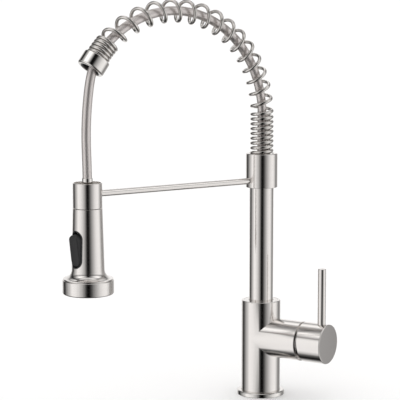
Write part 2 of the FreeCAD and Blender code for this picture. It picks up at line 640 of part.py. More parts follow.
def make_rod_and_holder():
    rod_from = "collar_dia / 2 - rod_seat"
    rod_to = "reach - holder_bore_dia / 2 - slip_gap"
    rod = solid_round("support_rod_bar", "rod_dia", "%s - (%s)" % (rod_to, rod_from),
                      (rod_from, 0, "rod_height"), "X")
    rod_piece = doc.addObject("Part::Compound", "support_rod")
    rod_piece.Links = [rod]
    stand_in_spout(keep(rod_piece, "support_rod"))

    recess_foot = "holder_top - holder_recess_depth"
    holder = turned("holder_ring", [
        ("holder_bore_dia / 2", "holder_bottom"), ("holder_dia / 2", "holder_bottom"),
        ("holder_dia / 2", "holder_top - holder_edge"), ("holder_dia / 2 - holder_edge", "holder_top"),
        ("holder_recess_dia / 2", "holder_top"), ("holder_recess_dia / 2", recess_foot),
        ("holder_bore_dia / 2", recess_foot),
    ])
    round_feature(holder, "Subtractive", "rod_socket", "rod_dia + 2 * running_gap", "holder_dia / 4",
                  ("-holder_dia / 2 - 0.5", 0, "rod_height"), "X")
    keep(holder, "holder_ring")
    stand_at_reach(holder)

    liner_in = "holder_bore_dia / 2 - liner_wall"
    liner_out = "holder_bore_dia / 2 - running_gap"
    lip = "holder_recess_dia / 2 - slip_gap"
    liner = turned("holder_liner", [
        (liner_in, "holder_bottom + 0.4"), (liner_out, "holder_bottom + 0.4"), (liner_out, recess_foot),
        (lip, recess_foot), (lip, recess_foot + " + 1.2"), (liner_in, recess_foot + " + 1.2"),
    ])
    keep(liner, "holder_liner")
    stand_at_reach(liner)


# ---------------------------------------------------------------------------------------------
# Spring arch and its end nut
# ---------------------------------------------------------------------------------------------

TURN_STEPS = 12
WIRE_SIDES = 6


def arch_point(along):
    """The arch's centre line and its direction at a distance above the spring's foot."""
    foot = value("spring_start")
    rise = value("arch_foot") - foot
    radius = value("arch_radius")
    sweep = math.radians(90 + value("arch_end_angle"))
    angle = min(max((along - rise) / radius, 0), sweep)
    heading = Vector(math.sin(angle), 0, math.cos(angle))
    point = Vector(radius - radius * math.cos(angle), 0, value("arch_foot") + radius * math.sin(angle))
    if along < rise:
        point = Vector(0, 0, foot + along)
    beyond = along - rise - radius * sweep
    if beyond > 0:
        point = point + heading * beyond
    return point, heading


def blended(low, high, share):
    return low + (high - low) * min(max(share, 0), 1)


def coil_pitch(along):
    """The spring's pitch: tight on the column, opening over the arch, and closed at the nut."""
    rise = value("arch_foot") - value("spring_start")
    degrees = math.degrees((along - rise) / value("arch_radius"))
    opening = degrees / value("open_from")
    climb = (degrees - value("open_from")) / (90 - value("open_from"))
    closing = (degrees - value("open_until")) / (value("closed_from") - value("open_until"))
    if degrees < value("open_from"):
        return blended(value("tight_pitch"), value("open_pitch_first"), opening)
    if degrees < value("open_until"):
        return blended(value("open_pitch_first"), value("open_pitch_top"), climb)
    return blended(value("open_pitch_top"), value("closed_pitch"), closing)


def make_spring():
    rise = value("arch_foot") - value("spring_start")
    sweep = math.radians(90 + value("arch_end_angle"))
    length = rise + value("arch_radius") * sweep + value("spring_nut_depth")
    wire_radius = value("spring_wire") / 2
    coil_radius = value("spring_dia") / 2 - wire_radius
    # a six-sided wire with the round wire's own area
    corner = wire_radius * math.sqrt(2 * math.pi / (WIRE_SIDES * math.sin(2 * math.pi / WIRE_SIDES)))
    stations = []
    along = 0.0
    turn = 0.0
    while along < length:
        middle, heading = arch_point(along)
        outward = Vector(heading.z, 0, -heading.x) * math.cos(turn) + Vector(0, math.sin(turn), 0)
        stations.append((middle + outward * coil_radius, outward))
        along += coil_pitch(along + coil_pitch(along) / TURN_STEPS / 2) / TURN_STEPS
        turn += 2 * math.pi / TURN_STEPS
    sections = []
    for index, (point, outward) in enumerate(stations):
        before = stations[max(index - 1, 0)][0]
        after = stations[min(index + 1, len(stations) - 1)][0]
        wire_way = (after - before).normalize()
        up = (outward - wire_way * outward.dot(wire_way)).normalize()
        side = wire_way.cross(up)
        corners = []
        for corner_number in range(WIRE_SIDES + 1):
            angle = 2 * math.pi * (corner_number + 0.5) / WIRE_SIDES
            corners.append(point + up * (corner * math.cos(angle)) + side * (corner * math.sin(angle)))
        corners[-1] = corners[0]
        sections.append(Part.makePolygon(corners))
    spring = doc.addObject("Part::Feature", "spring")
    spring.Shape = Part.makeLoft(sections, True, True)
    stand_in_spout(keep(spring, "spring"))


def make_end_nut():
    outer = "nut_dia / 2"
    bore = "nut_bore_dia / 2"
    mouth = "nut_mouth_dia / 2"
    nut = turned("end_nut", [
        (bore, 0), (outer + " - 0.8", 0), (outer, "0.8"), (outer, "nut_length - nut_bevel"),
        (outer + " - nut_bevel", "nut_length"), (mouth, "nut_length"), (mouth, "nut_web_from"),
        (bore, "nut_web_from"),
    ])
    stand_at_arch_end(keep(nut, "end_nut"))
    liner_out = mouth + " - running_gap"
    liner_in = "nut_liner_bore_dia / 2"
    liner = turned("nut_liner", [
        (liner_in, "nut_web_from"), (liner_out, "nut_web_from"), (liner_out, "nut_length - 0.8"),
        (liner_in + " + 0.4", "nut_length - 0.8"), (liner_in, "nut_length - 1.6"),
    ])
    stand_at_arch_end(keep(liner, "nut_liner"))


# ---------------------------------------------------------------------------------------------
# Hose: up the column, round the arch inside the spring, out of the nut and down into the head
# ---------------------------------------------------------------------------------------------

# It leaves the arch 42 degrees past the top and ends straight above the head. Its free stretch is bent through
# these points, chosen by hand, as shares of the way across to the head and of the height above its joint.
HOSE_LEAVES_ARCH = 42
HOSE_POINTS = [
    (0.363, 0.944), (0.648, 0.870), (0.822, 0.786), (0.941, 0.669), (1.024, 0.517), (1.042, 0.369), (1.0, 0.204),
]
BEND_SHARE = 0.45


def bent_path(points):
    """Straight runs joined by tangent arcs, as edges, and the arcs' radii."""
    edges = []
    radii = []
    start = points[0]
    for before, here, after in zip(points, points[1:], points[2:]):
        inward = (here - before).normalize()
        outward = (after - here).normalize()
        half_turn = inward.getAngle(outward) / 2
        tangent = BEND_SHARE * min((here - before).Length, (after - here).Length)
        radii.append(tangent / math.tan(half_turn))
        first = here - inward * tangent
        last = here + outward * tangent
        bisector = (outward - inward).normalize()
        middle = here + bisector * (radii[-1] / math.cos(half_turn) - radii[-1])
        edges.append(Part.LineSegment(start, first).toShape())
        edges.append(Part.Arc(first, middle, last).toShape())
        start = last
    edges.append(Part.LineSegment(start, points[-1]).toShape())
    return edges, radii


def make_hose():
    radius = value("arch_radius")
    arch_foot = value("arch_foot")
    centre = Vector(radius, 0, arch_foot)

    def on_arch(degrees):
        angle = math.radians(degrees)
        return centre + Vector(radius * math.sin(angle), 0, radius * math.cos(angle))

    leaves = on_arch(HOSE_LEAVES_ARCH)
    joint = Vector(value("reach"), 0, value("hose_joint"))
    free = [leaves]
    for across, above in HOSE_POINTS:
        free.append(Vector(leaves.x + across * (joint.x - leaves.x), 0, joint.z + above * (leaves.z - joint.z)))
    free.append(joint)
    free_edges, radii = bent_path(free)
    foot = Vector(0, 0, value("hose_foot"))
    edges = [Part.LineSegment(foot, Vector(0, 0, arch_foot)).toShape()]
    edges.append(Part.Arc(on_arch(-90), on_arch((HOSE_LEAVES_ARCH - 90) / 2), leaves).toShape())
    path = Part.Wire(edges + free_edges)
    skins = []
    for name in ("hose_dia", "hose_bore_dia"):
        section = Part.Wire([Part.Circle(foot, Vector(0, 0, 1), value(name) / 2).toShape()])
        skins.append(path.makePipeShell([section], True, False))
    hose = doc.addObject("Part::Feature", "spray_hose")
    hose.Shape = skins[0].cut(skins[1])
    stand_in_spout(keep(hose, "spray_hose"))
    area = math.pi / 4 * (value("hose_dia") ** 2 - value("hose_bore_dia") ** 2)
    print("hose length %.1f, radii %s" % (path.Length, ", ".join("%.0f" % bend for bend in radii)))
    print("hose volume %.0f, section times length %.0f" % (hose.Shape.Volume, area * path.Length))


def make_hose_ends():
    bore = "stem_bore_dia / 2"
    tail = "stem_tail_dia / 2"
    ferrule_in = "hose_dia / 2 + running_gap"
    ferrule_out = "hose_dia / 2 + ferrule_wall"
    ferrule = turned("hose_ferrule", [
        (ferrule_in, "ferrule_bottom"), (ferrule_out, "ferrule_bottom"),
        (ferrule_out, "ferrule_top - 0.5"), (ferrule_out + " - 0.4", "ferrule_top"),
        (ferrule_in, "ferrule_top"),
    ])
    keep(ferrule, "hose_ferrule")
    stand_at_reach(ferrule)

    flange_top = "flange_from + flange_thick"
    stem = turned("hose_stem", [
        (bore, "flange_from"), ("flange_dia / 2", "flange_from"), ("flange_dia / 2", flange_top),
        ("stem_dia / 2", flange_top), ("stem_dia / 2", "hose_joint - running_gap"),
        (tail, "hose_joint - running_gap"), (tail, "hose_joint + 18"), (bore, "hose_joint + 18"),
    ])
    keep(stem, "hose_stem")
    stand_at_reach(stem)

    thread_top = "tail_foot + tail_thread_depth"
    fitting = turned("hose_tail_fitting", [
        ("tail_thread_dia / 2", "tail_foot"), ("tail_dia / 2 - 0.5", "tail_foot"),
        ("tail_dia / 2", "tail_foot + 0.5"), ("tail_dia / 2", "hose_foot - running_gap"),
        (tail, "hose_foot - running_gap"), (tail, "hose_foot + 16"), (bore, "hose_foot + 16"),
        (bore, thread_top), ("tail_thread_dia / 2", thread_top),
    ])
    stand_in_spout(keep(fitting, "hose_tail_fitting"))


# ---------------------------------------------------------------------------------------------
# Spray head
# ---------------------------------------------------------------------------------------------

def stand_in_head(thing):
    stand_at_reach(thing, "head_turn")


def stadium(name, length, width, x_from, x_to):
    """A long rounded prism along X, centred at the rocker's height."""
    depth = "%s - (%s)" % (x_to, x_from)
    straight = "(%s) - (%s)" % (length, width)
    middle = solid_box(name + "_middle", (depth, width, straight),
                       (x_from, "-(%s) / 2" % width, "rocker_centre - (%s) / 2" % straight))
    shapes = [middle]
    for side in (1, -1):
        height = "rocker_centre + %d * (%s) / 2" % (side, straight)
        shapes.append(solid_round("%s_end_%d" % (name, side + 1), width, depth, (x_from, 0, height), "X"))
    return fused(name, shapes)


def head_wall(inset):
    """The head's tapered outside, moved inwards by an inset, from the waist up to the top."""
    return [
        ("head_waist_dia / 2 - (%s)" % inset, "head_waist_at"),
        ("head_top_dia / 2 - (%s)" % inset, "head_top"),
    ]


def make_head_shell():
    ceiling = "head_top - 3"
    inside_top = "head_top_dia / 2 - shell_wall"
    waist_inside = "head_waist_dia / 2 - shell_wall"
    shell = turned("head_shell_round", [
        ("flare_dia / 2 - shell_wall", "face_top"), ("flare_dia / 2", "face_top"),
        ("flare_dia / 2", "flare_at", "-flare_radius"),
        ("head_waist_dia / 2", "head_waist_at"), ("head_top_dia / 2", "head_top"),
        ("neck_dia / 2", "head_top"), ("neck_dia / 2", "neck_top - 0.6"), ("neck_dia / 2 - 0.6", "neck_top"),
        ("neck_bore_dia / 2", "neck_top"), ("neck_bore_dia / 2", ceiling), (inside_top, ceiling),
        (waist_inside, "head_waist_at"), (waist_inside, "face_top + 1.4"),
        ("flare_dia / 2 - shell_wall", "face_top + 1.4"),
    ])
    opening = stadium("shell_opening", "opening_length", "opening_width", "9", "30")
    shell_piece = boolean("Cut", "head_shell", shell, opening)
    keep(shell_piece, "head_shell")
    stand_in_head(shell_piece)


def make_rocker():
    bezel_length = "(opening_length - 2 * running_gap)"
    bezel_width = "(opening_width - 2 * running_gap)"
    inner_length = "(opening_length - 2 * bezel_wall)"
    inner_width = "(opening_width - 2 * bezel_wall)"
    skin_bottom = "rocker_centre - opening_length / 2 - 1"
    skin_top = "rocker_centre + opening_length / 2 + 1"

    def skin_radius(height):
        taper = "(head_waist_dia - head_top_dia) / 2 / (head_top - head_waist_at)"
        return "head_waist_dia / 2 - %s * (%s - head_waist_at) + bezel_proud" % (taper, height)

    skin = turned("bezel_skin", [
        (0, skin_bottom), (skin_radius(skin_bottom), skin_bottom), (skin_radius(skin_top), skin_top),
        (0, skin_top),
    ])
    block = stadium("bezel_block", bezel_length, bezel_width, "bezel_back", "30")
    rounded = boolean("Common", "bezel_rounded", skin, block)
    hollow = stadium("bezel_hollow", inner_length, inner_width, "bezel_back - 1", "31")
    framed = boolean("Cut", "bezel_frame", rounded, hollow)
    pin_hole = solid_round("bezel_pin_hole", "rocker_pin_dia + 2 * running_gap", "opening_width + 2",
                           ("rocker_pivot", "-opening_width / 2 - 1", "rocker_centre"), "Y")
    bezel = boolean("Cut", "button_bezel", framed, pin_hole)
    keep(bezel, "button_bezel")
    stand_in_head(bezel)

    pin = solid_round("rocker_pin_bar", "rocker_pin_dia", "opening_width - 1",
                      ("rocker_pivot", "-opening_width / 2 + 0.5", "rocker_centre"), "Y")
    pin_piece = doc.addObject("Part::Compound", "rocker_pin")
    pin_piece.Links = [pin]
    keep(pin_piece, "rocker_pin")
    stand_in_head(pin_piece)

    # the rocker: a tongue whose face leans out towards its top end, with a finger behind that works the spool
    button = new_body("rocker_tongue")
    width = "opening_width - 2 * bezel_wall - 2 * rocker_gap"
    foot = "rocker_centre + rocker_shift - rocker_length / 2"
    head = "rocker_centre + rocker_shift + rocker_length / 2"
    low_face = skin_radius(foot)
    high_face = skin_radius(head) + " + rocker_proud"
    back = "rocker_pivot - rocker_back"
    profile = closed_sketch(button, "rocker_profile", [
        (back, foot + " + 1"), (back + " + 1", foot), (low_face + " - 1.5", foot),
        (low_face, foot + " + 1.5"),
        (high_face, head + " - 5", "5"), (high_face + " - 5", head), (back + " + 1", head),
        (back, head + " - 1"),
    ], "XZ_Plane")
    pad = button.newObject("PartDesign::Pad", "rocker_pad")
    pad.Profile = profile
    pad.Midplane = True
    bind(pad, Length=width)
    round_feature(button, "Subtractive", "rocker_pin_hole", "rocker_pin_dia + 2 * running_gap",
                  "opening_width",
                  ("rocker_pivot", "-opening_width / 2", "rocker_centre"), "Y")
    round_feature(button, "Additive", "rocker_finger", "finger_dia", "rocker_pivot - 1.7 - finger_tip",
                  ("finger_tip", 0, "rocker_centre"), "X")
    outline = stadium("rocker_outline", "rocker_length", width, "0", "40")
    bind(outline, Base_z="rocker_shift")
    rocker = boolean("Common", "rocker_piece", button, outline)
    keep(rocker, "rocker_button")
    stand_in_head(rocker)

    spool_foot = "rocker_centre - spool_half"
    spool_top = "rocker_centre + spool_half"
    spool = turned("diverter_spool", [
        (0, spool_foot), ("spool_dia / 2 - 0.5", spool_foot), ("spool_dia / 2", spool_foot + " + 0.5"),
        ("spool_dia / 2", "rocker_centre - spool_groove_half"),
        ("spool_groove_dia / 2", "rocker_centre - spool_groove_half"),
        ("spool_groove_dia / 2", "rocker_centre + spool_groove_half"),
        ("spool_dia / 2", "rocker_centre + spool_groove_half"),
        ("spool_dia / 2", spool_top + " - 0.5"), ("spool_dia / 2 - 0.5", spool_top), (0, spool_top),
    ])
    keep(spool, "diverter_spool")
    stand_in_head(spool)


def make_waterway():
    insert = turned("waterway_insert", [
        (0, "insert_foot"), ("insert_dia / 2", "insert_foot"), ("insert_dia / 2", "insert_top - 8"),
        ("inlet_dia / 2", "insert_top"), ("inlet_dia / 2", "inlet_top"), (0, "inlet_top"),
    ])
    spool_bore = "spool_dia + 2 * running_gap"
    bore_from = "rocker_centre - spool_bore_half"
    round_feature(insert, "Subtractive", "spool_bore", spool_bore, "2 * spool_bore_half", (0, 0, bore_from))
    round_feature(insert, "Subtractive", "inlet_bore", "inlet_bore_dia",
                  "inlet_top - (rocker_centre + spool_bore_half) + 2",
                  (0, 0, "rocker_centre + spool_bore_half - 1"))
    round_feature(insert, "Subtractive", "stream_bore", "spool_dia - 1", bore_from + " - insert_foot + 2",
                  (0, 0, "insert_foot - 1"))
    for side in (1, -1):
        round_feature(insert, "Subtractive", "spray_bore_%d" % (side + 1), 4,
                      "rocker_centre - insert_foot - 6",
                      (0, "%d * 8" % side, "insert_foot - 1"))
        round_feature(insert, "Subtractive", "spray_cross_%d" % (side + 1), 3, 8,
                      (0, "%d" % (0 if side > 0 else -8), "rocker_centre - spool_half - 2"), "Y")
    pocket_half = "(opening_length / 2 + 1)"
    box_feature(insert, "Subtractive", "button_pocket",
                ("insert_dia", "opening_width + 3", "2 * " + pocket_half),
                ("bezel_back - 0.4", "-(opening_width + 3) / 2", "rocker_centre - " + pocket_half))
    # the pressed end of the rocker swings into this deeper half of the pocket
    sink_from = "rocker_pivot - rocker_back - rocker_length / 2 * sin(rocker_travel) - free_gap"
    box_feature(insert, "Subtractive", "rocker_sink",
                ("insert_dia", "opening_width", "rocker_length / 2 + 2 * free_gap"),
                (sink_from, "-opening_width / 2", "rocker_centre - free_gap"))
    box_feature(insert, "Subtractive", "finger_slot", ("bezel_back", "finger_dia + 1.2", 9),
                ("finger_tip - 0.6", "-(finger_dia + 1.2) / 2", "rocker_centre - 4.5"))
    keep(insert, "waterway_insert")
    stand_in_head(insert)

    check = turned("check_valve", [
        (1.6, "rocker_centre + spool_bore_half + 1"),
        ("inlet_bore_dia / 2 - slip_gap", "rocker_centre + spool_bore_half + 1"),
        ("inlet_bore_dia / 2 - slip_gap", "inlet_top - 1"), (1.6, "inlet_top - 1"),
    ])
    keep(check, "check_valve")
    stand_in_head(check)

    washer = ring("hose_washer", "inlet_bore_dia + 1", "inlet_dia - 1.4", "inlet_top",
                  "inlet_top + washer_thick")
    keep(washer, "hose_washer")
    stand_in_head(washer)

    flange_top = "flange_from + flange_thick"
    nut = new_body("swivel_nut")
    corners = []
    for side in range(6):
        angle = 60 * side
        spread = "swivel_nut_across / sqrt(3)"
        corners.append(("%s * cos(%d)" % (spread, angle), "%s * sin(%d)" % (spread, angle)))
    hexagon = closed_sketch(nut, "swivel_nut_hexagon", corners, "XY_Plane")
    hexagon.AttachmentOffset = Placement(Vector(0, 0, value("swivel_nut_from")), Rotation())
    hexagon.setExpression("AttachmentOffset.Base.z", bound("swivel_nut_from"))
    pad = nut.newObject("PartDesign::Pad", "swivel_nut_pad")
    pad.Profile = hexagon
    bind(pad, Length="swivel_nut_top - swivel_nut_from")
    round_feature(nut, "Subtractive", "nut_thread", "inlet_dia + 2 * running_gap",
                  flange_top + " + free_gap - swivel_nut_from",
                  (0, 0, "swivel_nut_from"))
    round_feature(nut, "Subtractive", "nut_hole", "stem_dia + 2 * free_gap", "20", (0, 0, "swivel_nut_from"))
    keep(nut, "swivel_nut")
    stand_in_head(nut)


NOZZLE_RINGS = [(26, 12), (33.5, 16), (41, 20)]


def make_spray_face():
    outer = "face_dia / 2"
    inside = "face_dia / 2 - face_wall"
    lip = inside + " - 0.6"
    plate_foot = "face_bottom + plate_recess"
    plate_top = plate_foot + " + plate_thick"
    ceiling = "face_top - face_top_thick"
    hole = "insert_dia / 2 + 0.5"
    face = turned("face_ring", [
        (lip, "face_bottom"), (outer + " - face_round", "face_bottom", "face_round"),
        (outer, "face_bottom + face_round"),
        (outer, "face_top - face_bevel"), (outer + " - face_bevel", "face_top"), (hole, "face_top"),
        (hole, ceiling), (inside, ceiling), (inside, plate_foot), (lip, plate_foot),
    ])
    screw_at = "diffuser_screw_circle / 2"
    screw_hole = round_feature(face, "Subtractive", "face_screw_hole", "diffuser_screw_dia + 2 * running_gap",
                               "face_top_thick - 0.4", (screw_at, 0, ceiling))
    around(face, screw_hole, 3)
    keep(face, "face_ring")
    stand_in_head(face)

    plate = ring("spray_plate", "aerator_dia + 2 * slip_gap", "face_dia - 2 * face_wall - 2 * slip_gap",
                 plate_foot, plate_top)
    mat_foot = plate_top
    mat_edge = "face_dia - 2 * face_wall - 2"
    mat = ring("nozzle_mat", "aerator_dia + 2", mat_edge, mat_foot, mat_foot + " + mat_thick")
    for number, (circle, count) in enumerate(NOZZLE_RINGS):
        hole = round_feature(plate, "Subtractive", "nozzle_hole_%d" % number, "nozzle_bore_dia",
                             "plate_thick + 2",
                             ("%s / 2" % circle, 0, plate_foot + " - 1"))
        around(plate, hole, count)
        nozzle = round_feature(mat, "Additive", "nozzle_%d" % number, "nozzle_dia",
                               "plate_thick + nozzle_proud + 0.5",
                               ("%s / 2" % circle, 0, plate_foot + " - nozzle_proud"))
        around(mat, nozzle, count)
    keep(plate, "spray_plate")
    stand_in_head(plate)
    keep(mat, "nozzle_mat")
    stand_in_head(mat)

    aerator_foot = plate_foot + " - 0.6"
    aerator_top = aerator_foot + " + aerator_length"
    screen_foot = aerator_foot + " + 1.2"
    seat = "aerator_dia / 2 - 1.2"
    aerator = turned("aerator", [
        (seat + " - 0.8", aerator_foot), ("aerator_dia / 2", aerator_foot), ("aerator_dia / 2", aerator_top),
        (seat, aerator_top), (seat, screen_foot), (seat + " - 0.8", screen_foot),
    ])
    keep(aerator, "aerator")
    stand_in_head(aerator)
    screen = ring("aerator_screen", "0", "aerator_dia - 2.6", screen_foot, screen_foot + " + screen_thick")
    keep(screen, "aerator_screen")
    stand_in_head(screen)

    diffuser = turned("diffuser", [
        (4, "diffuser_from + 2"), ("aerator_dia / 2 + 0.3", "diffuser_from + 2"),
        ("aerator_dia / 2 + 0.3", "diffuser_from"),
        ("face_dia / 2 - face_wall - 0.4", "diffuser_from"),
        ("face_dia / 2 - face_wall - 0.4", "diffuser_from + diffuser_thick"),
        (4, "diffuser_from + diffuser_thick"),
    ])
    hole = round_feature(diffuser, "Subtractive", "diffuser_screw_hole",
                         "diffuser_screw_dia + 2 * running_gap",
                         "diffuser_thick + 2", (screw_at, 0, "diffuser_from - 1"))
    around(diffuser, hole, 3)
    keep(diffuser, "diffuser")
    stand_in_head(diffuser)

    screws = []
    for number in range(3):
        angle = 120 * number
        at = ("%s * cos(%d)" % (screw_at, angle), "%s * sin(%d)" % (screw_at, angle), "diffuser_from")
        screws.append(solid_round("diffuser_screw_%d" % number, "diffuser_screw_dia",
                                  ceiling + " + 1.2 - diffuser_from", at))
    group = doc.addObject("Part::Compound", "diffuser_screws")
    group.Links = screws
    keep(group, "diffuser_screws")
    stand_in_head(group)

    seal = doc.addObject("Part::Torus", "face_seal_ring")
    bind(seal, Radius1="insert_dia / 2 + seal_wire / 2 + slip_gap", Radius2="seal_wire / 2",
         Base_z="diffuser_from + diffuser_thick + seal_wire / 2 + slip_gap")
    group = doc.addObject("Part::Compound", "face_seal_piece")
    group.Links = [seal]
    keep(group, "face_seal")
    stand_in_head(group)


make_base()
make_valve_body()
make_swivel()
make_cartridge()
make_stem()
make_handle()
make_column()
make_rod_and_holder()
make_spring()
make_end_nut()
make_hose()
make_hose_ends()
make_head_shell()
make_rocker()
make_waterway()
make_spray_face()
doc.recompute()

# ---------------------------------------------------------------------------------------------
# Checks and STEP files
# ---------------------------------------------------------------------------------------------

faults = []
for thing in doc.Objects:
    if {"Invalid", "Error"} & set(thing.State):
        faults.append("%s: %s" % (thing.Label, ", ".join(thing.State)))
for part in parts:
    if part.Shape.isNull() or not part.Shape.isValid() or not part.Shape.Solids:
        faults.append("%s: no valid solid" % part.Label)
if faults:
    raise RuntimeError("; ".join(faults))

os.makedirs("parts", exist_ok=True)
for part in parts:
    part.Shape.exportStep("parts/%s.step" % part.Label)
print("%d nodes" % len(parts))
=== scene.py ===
import json
import math

import bmesh
import bpy
from mathutils import Matrix, Vector


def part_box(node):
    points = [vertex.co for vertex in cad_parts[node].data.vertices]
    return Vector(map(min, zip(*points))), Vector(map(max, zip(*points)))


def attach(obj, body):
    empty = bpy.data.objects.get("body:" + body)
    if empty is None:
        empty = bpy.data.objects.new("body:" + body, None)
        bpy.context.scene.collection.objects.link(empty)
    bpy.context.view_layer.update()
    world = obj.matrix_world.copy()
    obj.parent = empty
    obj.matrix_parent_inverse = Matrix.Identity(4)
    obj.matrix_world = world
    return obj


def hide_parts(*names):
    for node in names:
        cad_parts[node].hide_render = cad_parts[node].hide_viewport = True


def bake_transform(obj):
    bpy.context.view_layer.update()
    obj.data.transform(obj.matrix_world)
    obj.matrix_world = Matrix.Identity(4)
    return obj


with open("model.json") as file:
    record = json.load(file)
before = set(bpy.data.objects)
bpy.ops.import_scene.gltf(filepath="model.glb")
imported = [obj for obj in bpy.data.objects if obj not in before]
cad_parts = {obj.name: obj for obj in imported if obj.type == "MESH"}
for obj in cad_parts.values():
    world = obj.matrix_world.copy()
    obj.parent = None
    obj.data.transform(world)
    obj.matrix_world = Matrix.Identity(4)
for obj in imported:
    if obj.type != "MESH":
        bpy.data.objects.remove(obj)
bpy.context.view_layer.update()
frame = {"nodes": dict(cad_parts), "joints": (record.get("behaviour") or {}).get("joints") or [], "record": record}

# Outlines are (radius, height) in millimetres, and everything is placed in metres.
MM = 0.001
UP = Vector((0, 0, 1))
# What a hole leaves free round the piece that fills it
CLEARANCE = 0.05

# ---------------------------------------------------------------------------------------------
# Where the groups of pieces stand, from the frame's own joints
# ---------------------------------------------------------------------------------------------


def joint(name):
    return next(item for item in frame["joints"] if item["name"] == name)


def turn(degrees, axis):
    return Matrix.Rotation(math.radians(degrees), 4, axis)


def shift(x, y, z):
    return Matrix.Translation((x * MM, y * MM, z * MM))


head_axis = Vector(joint("spray_head_spin")["pos_m"])
spout_angle = math.degrees(math.atan2(head_axis.y, head_axis.x))
rocker_axis = Vector(joint("mode_rocker")["axis"])
head_angle = math.degrees(math.atan2(rocker_axis.x, -rocker_axis.y))
arm_height = joint("temperature_turn")["pos_m"][2] / MM
lever_low, lever_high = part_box("lever_rod")

VALVE = Matrix.Identity(4)
SPOUT = turn(spout_angle, "Z")
REACH = math.hypot(head_axis.x, head_axis.y) / MM
HOLDER = SPOUT @ shift(REACH, 0, 0)
HEAD = Matrix.Translation((head_axis.x, head_axis.y, 0)) @ turn(head_angle, "Z")
ARM = shift(0, 0, arm_height) @ turn(90, "Y")
LEVER = Matrix.Translation(((lever_low.x + lever_high.x) / 2, 0, 0))
SPOUT_ARM = SPOUT @ turn(90, "Y")


def size(node, place):
    """Smallest and largest radius, lowest and highest point of a CAD node about a place's Z, in mm."""
    back = place.inverted()
    points = [back @ vertex.co for vertex in frame["nodes"][node].data.vertices]
    radii = [math.hypot(point.x, point.y) / MM for point in points]
    heights = [point.z / MM for point in points]
    return min(radii), max(radii), min(heights), max(heights)


# The spring arch: a half circle and more in the spout's plane, ending past its top
ARCH_RADIUS = 117
ARCH_FOOT = 319
ARCH_END = 53.5
ARCH_CENTRE = Vector((ARCH_RADIUS, 0, ARCH_FOOT))


def on_arch(degrees):
    """A point of the arch's centre line, in the spout's own plane; 0 is its top and -90 its foot."""
    angle = math.radians(degrees)
    return ARCH_CENTRE + ARCH_RADIUS * Vector((math.sin(angle), 0, math.cos(angle)))


ARCH_TIP = SPOUT @ shift(*on_arch(ARCH_END)) @ turn(90 + ARCH_END, "Y")

# ---------------------------------------------------------------------------------------------
# Making pieces
# ---------------------------------------------------------------------------------------------

TURN_STEPS = 96
SMOOTH_BELOW = 32


def arc(centre, radius, first, last, count):
    """Points of an arc in an outline, by angle from outwards in degrees."""
    angles = [math.radians(first + (last - first) * step / count) for step in range(count + 1)]
    return [(centre[0] + radius * math.cos(a), centre[1] + radius * math.sin(a)) for a in angles]


def turned(outline, place=VALVE, steps=TURN_STEPS):
    """A solid turned about a place's own Z. A point's third number is the rounding of that corner."""
    shape = bmesh.new()
    corners = [shape.verts.new((point[0], 0, point[1])) for point in outline]
    for first, second in zip(corners, corners[1:] + corners[:1]):
        if first.co.x > 0 or second.co.x > 0:
            shape.edges.new((first, second))
    for corner, point in zip(corners, outline):
        if len(point) == 3:
            bmesh.ops.bevel(shape, geom=[corner], offset=point[2], offset_type="OFFSET", segments=4,
                            profile=0.5, affect="VERTICES", material=-1)
    bmesh.ops.spin(shape, geom=shape.verts[:] + shape.edges[:], cent=(0, 0, 0), axis=UP,
                   angle=2 * math.pi, steps=steps, use_merge=True)
    bmesh.ops.remove_doubles(shape, verts=shape.verts, dist=1e-5)
    bmesh.ops.recalc_face_normals(shape, faces=shape.faces)
    bmesh.ops.transform(shape, matrix=place @ Matrix.Scale(MM, 4), verts=shape.verts)
    return shape


def tube(inner, outer, foot, top, edge=0.3):
    return [(inner, foot, edge), (outer, foot, edge), (outer, top, edge), (inner, top, edge)]


def bar(radius, foot, top, place, edge=0.3, steps=48):
    return turned([(0, foot), (radius, foot, edge), (radius, top, edge), (0, top)], place, steps)


def drill(radius, foot, top, place, steps=48):
    """A plain cylinder to cut with."""
    return turned([(0, foot), (radius, foot), (radius, top), (0, top)], place, steps)


def box(low, high, place):
    shape = bmesh.new()
    bmesh.ops.create_cube(shape, size=1)
    span = Vector(high) - Vector(low)
    middle = (Vector(high) + Vector(low)) / 2
    fit = Matrix.Translation(middle) @ Matrix.Diagonal((*span, 1))
    bmesh.ops.transform(shape, matrix=place @ Matrix.Scale(MM, 4) @ fit, verts=shape.verts)
    return shape


def joined(shapes):
    """Several shapes as one, each of them closed by itself."""
    whole = bmesh.new()
    for shape in shapes:
        mesh = bpy.data.meshes.new("part")
        shape.to_mesh(mesh)
        shape.free()
        whole.from_mesh(mesh)
        bpy.data.meshes.remove(mesh)
    return whole


def skinned(loops, place, ends=True):
    """A skin over loops of points, one after another, closed by its ends or back onto the first loop."""
    shape = bmesh.new()
    edges = []
    for loop in loops:
        verts = [shape.verts.new(point) for point in loop]
        edges.append([shape.edges.new((a, b)) for a, b in zip(verts, verts[1:] + verts[:1])])
    following = edges[1:] if ends else edges[1:] + edges[:1]
    for first, second in zip(edges, following):
        bmesh.ops.bridge_loops(shape, edges=first + second)
    if ends:
        bmesh.ops.edgeloop_fill(shape, edges=edges[0])
        bmesh.ops.edgeloop_fill(shape, edges=edges[-1])
    bmesh.ops.recalc_face_normals(shape, faces=shape.faces)
    bmesh.ops.transform(shape, matrix=place @ Matrix.Scale(MM, 4), verts=shape.verts)
    return shape


def as_object(name, shape):
    mesh = bpy.data.meshes.new(name)
    shape.to_mesh(mesh)
    shape.free()
    made = bpy.data.objects.new(name, mesh)
    bpy.context.scene.collection.objects.link(made)
    return made


def evaluated(made):
    return bpy.data.meshes.new_from_object(made.evaluated_get(bpy.context.evaluated_depsgraph_get()))


